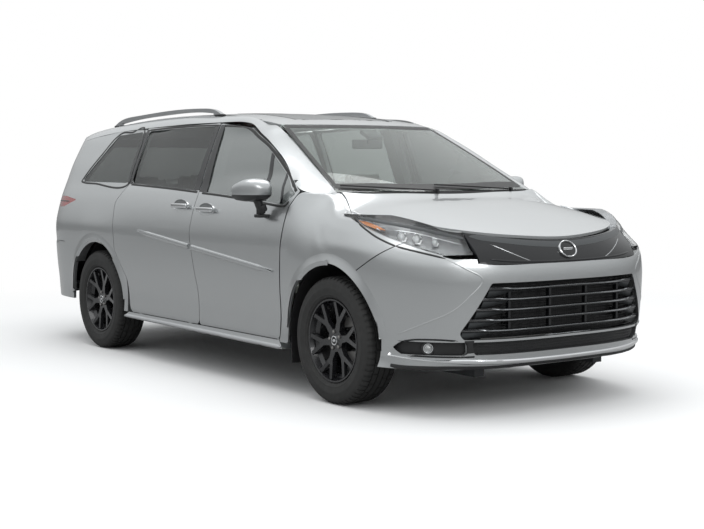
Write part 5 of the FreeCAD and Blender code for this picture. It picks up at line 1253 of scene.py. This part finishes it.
two_tone.links.new(above_split.outputs[0], rough_mix.inputs["Value"])
two_tone.links.new(paint_mix.outputs["Result"], two_tone.shader.inputs["Base Color"])
two_tone.links.new(metal_mix.outputs["Result"], two_tone.shader.inputs["Metallic"])
two_tone.links.new(rough_mix.outputs["Result"], two_tone.shader.inputs["Roughness"])
two_tone.bump(two_tone.cells(500), 0.04, 0.0003)
TWO_TONE = keep(two_tone)

# %% [markdown]
# A head is a run of rounded squares, largest near the middle. A short arm joins it to a foot
# on the door, and an oval pane faces back.

# %% Mirror heads, arms and feet
# Sections of the head: x, middle and half width along y, middle and half height along z.
HEAD = (
    (0.833, 1.112, 0.028, 1.214, 0.030), (0.838, 1.109, 0.042, 1.215, 0.044),
    (0.856, 1.101, 0.050, 1.217, 0.053), (0.890, 1.090, 0.062, 1.221, 0.061),
    (0.925, 1.079, 0.073, 1.225, 0.067), (0.960, 1.064, 0.080, 1.228, 0.070),
    (0.990, 1.050, 0.079, 1.230, 0.066), (1.015, 1.038, 0.066, 1.229, 0.052),
    (1.030, 1.030, 0.044, 1.227, 0.032), (1.036, 1.027, 0.018, 1.226, 0.012),
)
ROUND = 40
SQUARENESS = 0.62
PIVOT_SECTION = ((0, 0.0785), (0.018, 0.0785), (0.020, 0.0), (0.020, -0.020), (0, -0.020))
PANE_SECTION = ((0, 0.0015), (0.030, 0.0015), (0.034, 0.0), (0.034, -0.006), (0, -0.006))


def squared(angle):
    """A point of a rounded square, two units wide."""
    c, n = math.cos(angle), math.sin(angle)
    return math.copysign(abs(c) ** SQUARENESS, c), math.copysign(abs(n) ** SQUARENESS, n)


def mirror_head(s):
    """Rounded-square sections along X, joined to a closed shell."""
    corners = [squared(math.tau * k / ROUND) for k in range(ROUND)]
    rings = []
    for x, cy, half_y, cz, half_z in HEAD:
        rings.append([(x, s * (cy + half_y * a), cz + half_z * b) for a, b in corners])
    bm = woven(rings, closed=True)
    for ends in (bm.verts[:ROUND], bm.verts[-ROUND:]):
        bm.faces.new(ends)
    return bm


for side_name, s in SIDES:
    body = "mirror_" + side_name
    lean = Matrix.Rotation(math.radians(-s * 24), 3, "X")
    shell = add_piece("mirror_shell_" + side_name, mirror_head(s), body, TWO_TONE)
    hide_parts("door_mirror_" + side_name)
    arm = joined(lathe(PIVOT_SECTION, (0.940, s * 1.015, 1.100), (0, 0, 1), 32),
                 block((0.050, 0.038, 0.105), (0.953, s * 1.024, 1.128), 0.014, lean),
                 block((0.052, 0.045, 0.052), (0.962, s * 1.008, 1.118), 0.016, lean))
    add_piece("mirror_arm_" + side_name, arm, body, PLASTIC)
    foot = block((0.066, 0.108, 0.0205), (0.940, s * 0.983, 1.0695), 0.006)
    add_piece("mirror_foot_" + side_name, foot, "front_door_" + side_name, PLASTIC)
    pane = lathe(PANE_SECTION, (0.833, s * 1.112, 1.214), (-1, 0, 0), 48, (0.95, 1.05))
    add_piece("mirror_glass_" + side_name, pane, body, MIRROR)
print("mirrors done")

# %% [markdown]
# A black border is baked onto the edge of the windscreen to hide its glue, and a sensor box and
# the rear-view mirror sit behind its top edge. Thin strips on the pane make the border.

# %% Windscreen border, sensor and inner mirror
screen_skin = skin("windshield")
LOW_BORDER = ((1.350, -0.725), (1.408, -0.5), (1.462, -0.25), (1.480, 0), (1.462, 0.25), (1.408, 0.5),
              (1.350, 0.725))
TOP_BORDER = ((0.602, -0.60), (0.655, -0.35), (0.674, 0), (0.655, 0.35), (0.602, 0.60))
SIDE_BORDER = ((1.36, 0.738), (1.15, 0.708), (0.9, 0.664), (0.62, 0.607))


def border(name, line, wide, steps, across):
    strip("screen_border_" + name, screen_skin, from_above(screen_skin, line), wide, 0.0005, "body", SEAL,
          steps, across, sink=0.0)


border("low", LOW_BORDER, 0.075, 60, 4)
border("top", TOP_BORDER, 0.050, 50, 4)
for side_name, s in SIDES:
    border(side_name, [(x, s * y) for x, y in SIDE_BORDER], 0.042, 50, 3)
top_glass = from_above(screen_skin, [(0.735, 0)])[0]
tilt = Matrix.Rotation(math.radians(26), 3, "Y")
sensor = block((0.11, 0.125, 0.030), top_glass + Vector((-0.012, 0, -0.030)), 0.008, tilt)
add_piece("screen_sensor", sensor, "body", SOFT)
inner = joined(block((0.022, 0.245, 0.062), top_glass + Vector((-0.060, 0, -0.092)), 0.009),
               block((0.016, 0.020, 0.070), top_glass + Vector((-0.050, 0, -0.052)), 0.004))
add_piece("inner_mirror", inner, "body", SOFT)
print("screen done")

# %% [markdown]
# Black seals close the joints along the roof: one in each gutter beside the roof panel and one
# round the glass roof. The roof rails stand on small black feet.

# %% Roof seals and rail feet
roof_skin = skin("roof_panel", "roof_glass")
rail_skin = skin("roof_rails")
GUTTER = ((0.36, 0.631), (-0.2, 0.632), (-0.9, 0.632), (-1.6, 0.632), (-2.17, 0.630))
GLASS_HALF = 0.402
RAIL_Y = 0.646


def roof_seal(name, line, height, steps):
    strip(name, roof_skin, from_above(roof_skin, line), 0.012, height, "body", SEAL, steps, 3)


for side_name, s in SIDES:
    roof_seal("roof_gutter_" + side_name, [(x, s * y) for x, y in GUTTER], 0.002, 90)
    roof_seal("glass_roof_side_" + side_name, [(x, s * GLASS_HALF) for x in (0.42, 0.05, -0.31)], 0.0015, 40)
    for place, x in (("front", -0.150), ("rear", -1.700)):
        top = from_above(rail_skin, [(x, s * RAIL_Y)])[0]
        foot = block((0.105, 0.032, 0.012), (x, s * RAIL_Y, top.z - 0.021), 0.005)
        add_piece("rail_foot_%s_%s" % (place, side_name), foot, "body", PLASTIC)
for place, x in (("front", 0.440), ("rear", -0.330)):
    roof_seal("glass_roof_" + place, [(x, -0.36), (x, 0), (x, 0.36)], 0.0015, 40)
print("roof done")

# %% [markdown]
# The tail isn't shown in the view that this lesson follows, so it is finished as such vans
# usually are: a wiper on a pivot, a bright strip, and a blank plate in a dark recess.

# %% Tail details
gate_skin = skin("tailgate", "tailgate_glass")
WIPER_PIVOT = ((0, 0.020), (0.014, 0.018), (0.020, 0.010), (0.022, -0.006), (0, -0.006))
WIPER_ARM = ((0.0, 1.203), (0.10, 1.235), (0.24, 1.258))
WIPER_BLADE = ((0.08, 1.250), (0.24, 1.258), (0.42, 1.256))
GARNISH = ((-0.36, 1.068), (-0.18, 1.070), (0, 1.071), (0.18, 1.070), (0.36, 1.068))
PLATE_Z = 0.955
pivot = from_behind(gate_skin, [(0.0, 1.200)])[0]
add_piece("rear_wiper_pivot", lathe(WIPER_PIVOT, pivot, (-1, 0, 0.2), 32), "tailgate", PLASTIC)
arm_line = [p + Vector((-0.012, 0, 0)) for p in from_behind(gate_skin, WIPER_ARM)]
strip("rear_wiper_arm", gate_skin, arm_line, 0.016, 0.014, "tailgate", PLASTIC, 24, 3, fade=0.1)
strip("rear_wiper_blade", gate_skin, from_behind(gate_skin, WIPER_BLADE), 0.012, 0.012, "tailgate",
      SEAL, 30, 3, fade=0.1)
strip("tailgate_garnish", gate_skin, from_behind(gate_skin, GARNISH), 0.034, 0.008, "tailgate",
      CHROME, 60, 5, fade=0.08)
recess = unit_grid(16, 6)
for v in recess.verts:
    v.co = from_behind(gate_skin, [(v.co.x * 0.56, PLATE_Z + v.co.y * 0.17)])[0] + Vector((-0.0015, 0, 0))
add_piece("plate_recess", solid_wall(recess, (-0.002, 0, 0)), "tailgate", PLASTIC)
plate_finish = Finish("plate_white", (0.72, 0.73, 0.73), 0.4, 0.1)
plate_finish.gloss(plate_finish.noise(40.0), 0.32, 0.46)
PLATE = keep(plate_finish)
plate_at = from_behind(gate_skin, [(0, PLATE_Z)])[0] + Vector((-0.006, 0, 0))
add_piece("blank_plate", block((0.004, 0.305, 0.150), plate_at, 0.0015), "tailgate", PLATE)

# %% [markdown]
# The corner between the roof, the rear post and the end of the spoiler has no panel of its own.
# A few points of its rim, and one of its crown, are wrapped in a hull to close it.

# %% Rear roof corners
CORNER_RIM = ((-2.264, 0.609, 1.629), (-2.246, 0.640, 1.623), (-2.228, 0.676, 1.612),
              (-2.222, 0.694, 1.592), (-2.240, 0.694, 1.555), (-2.284, 0.660, 1.541),
              (-2.302, 0.628, 1.543), (-2.322, 0.611, 1.580))
CORNER_CROWN = (-2.283, 0.652, 1.596)
CORNER_DEPTH = 0.030
CORNER_INNER_Y = 0.609
for side_name, s in SIDES:
    bm = bmesh.new()
    for x, y, z in CORNER_RIM:
        bm.verts.new((x, s * y, z))
        bm.verts.new((x + CORNER_DEPTH, s * max(y - 0.012, CORNER_INNER_Y), z - 0.006))
    x, y, z = CORNER_CROWN
    bm.verts.new((x, s * y, z))
    bmesh.ops.convex_hull(bm, input=bm.verts[:])
    add_piece("rear_corner_" + side_name, bm, "body", SILVER, 80)
print("rear corners done")

# %% [markdown]
# Red lamps and reflectors, a black step on top of the bumper and a black valance below it
# finish the tail. Each is a strip on the skin that a straight line from behind meets.

# %% Tail lamps and bumper trim
HIGH_LAMP = ((-0.17, 1.616), (-0.08, 1.617), (0, 1.6175), (0.08, 1.617), (0.17, 1.616))
STEP_LINE = ((-0.62, 0.742), (-0.3, 0.744), (0, 0.745), (0.3, 0.744), (0.62, 0.742))
VALANCE_LINE = ((-0.80, 0.405), (-0.4, 0.402), (0, 0.400), (0.4, 0.402), (0.80, 0.405))
REFLECTOR_LINE = ((0.62, 0.520), (0.70, 0.522), (0.78, 0.526))
LIGHT_BAR = ((0.44, 1.108), (0.56, 1.108), (0.70, 1.108))
SIDE_BAR = ((-1.95, 0.97, 1.106), (-2.12, 0.95, 1.106), (-2.27, 0.91, 1.106), (-2.40, 0.82, 1.106))
TIP_SECTION = ((0.031, 0.030), (0.034, 0.034), (0.037, 0.030), (0.037, -0.05), (0.031, -0.05))
spoiler_skin = skin("tailgate")
tail_skin = skin("rear_bumper")
gate_lamps = skin("tailgate_lamps")
side_lamps = skin("side_lamps")
strip("high_brake_lamp", spoiler_skin, from_behind(spoiler_skin, HIGH_LAMP), 0.010, 0.003, "tailgate",
      RED, 30, 3, fade=0.05)
strip("bumper_step", tail_skin, from_behind(tail_skin, STEP_LINE), 0.030, 0.003, "body", PLASTIC, 60, 3,
      fade=0.04)
strip("bumper_valance", tail_skin, from_behind(tail_skin, VALANCE_LINE), 0.085, 0.004, "body", PLASTIC,
      70, 5, fade=0.06)
for side_name, s in SIDES:
    reflector = from_behind(tail_skin, [(s * y, z) for y, z in REFLECTOR_LINE])
    strip("bumper_reflector_" + side_name, tail_skin, reflector, 0.034, 0.005, "body", RED, fade=0.1)
    bar = from_behind(gate_lamps, [(s * y, z) for y, z in LIGHT_BAR])
    strip("tail_light_bar_" + side_name, gate_lamps, bar, 0.012, 0.002, "tailgate", WHITE_LAMP, 24, 3,
          fade=0.1)
    line = [nearest(side_lamps, (x, s * y, z))[0] for x, y, z in SIDE_BAR]
    strip("side_light_bar_" + side_name, side_lamps, line, 0.010, 0.002, "body", GLOSS_BLACK, 40, 3,
          fade=0.1)
tip = lathe(TIP_SECTION, (-2.490, -0.515, 0.300), (-1, -0.2, 0), 40)
add_piece("exhaust_tip", tip, "body", CHROME)
print("tail done")
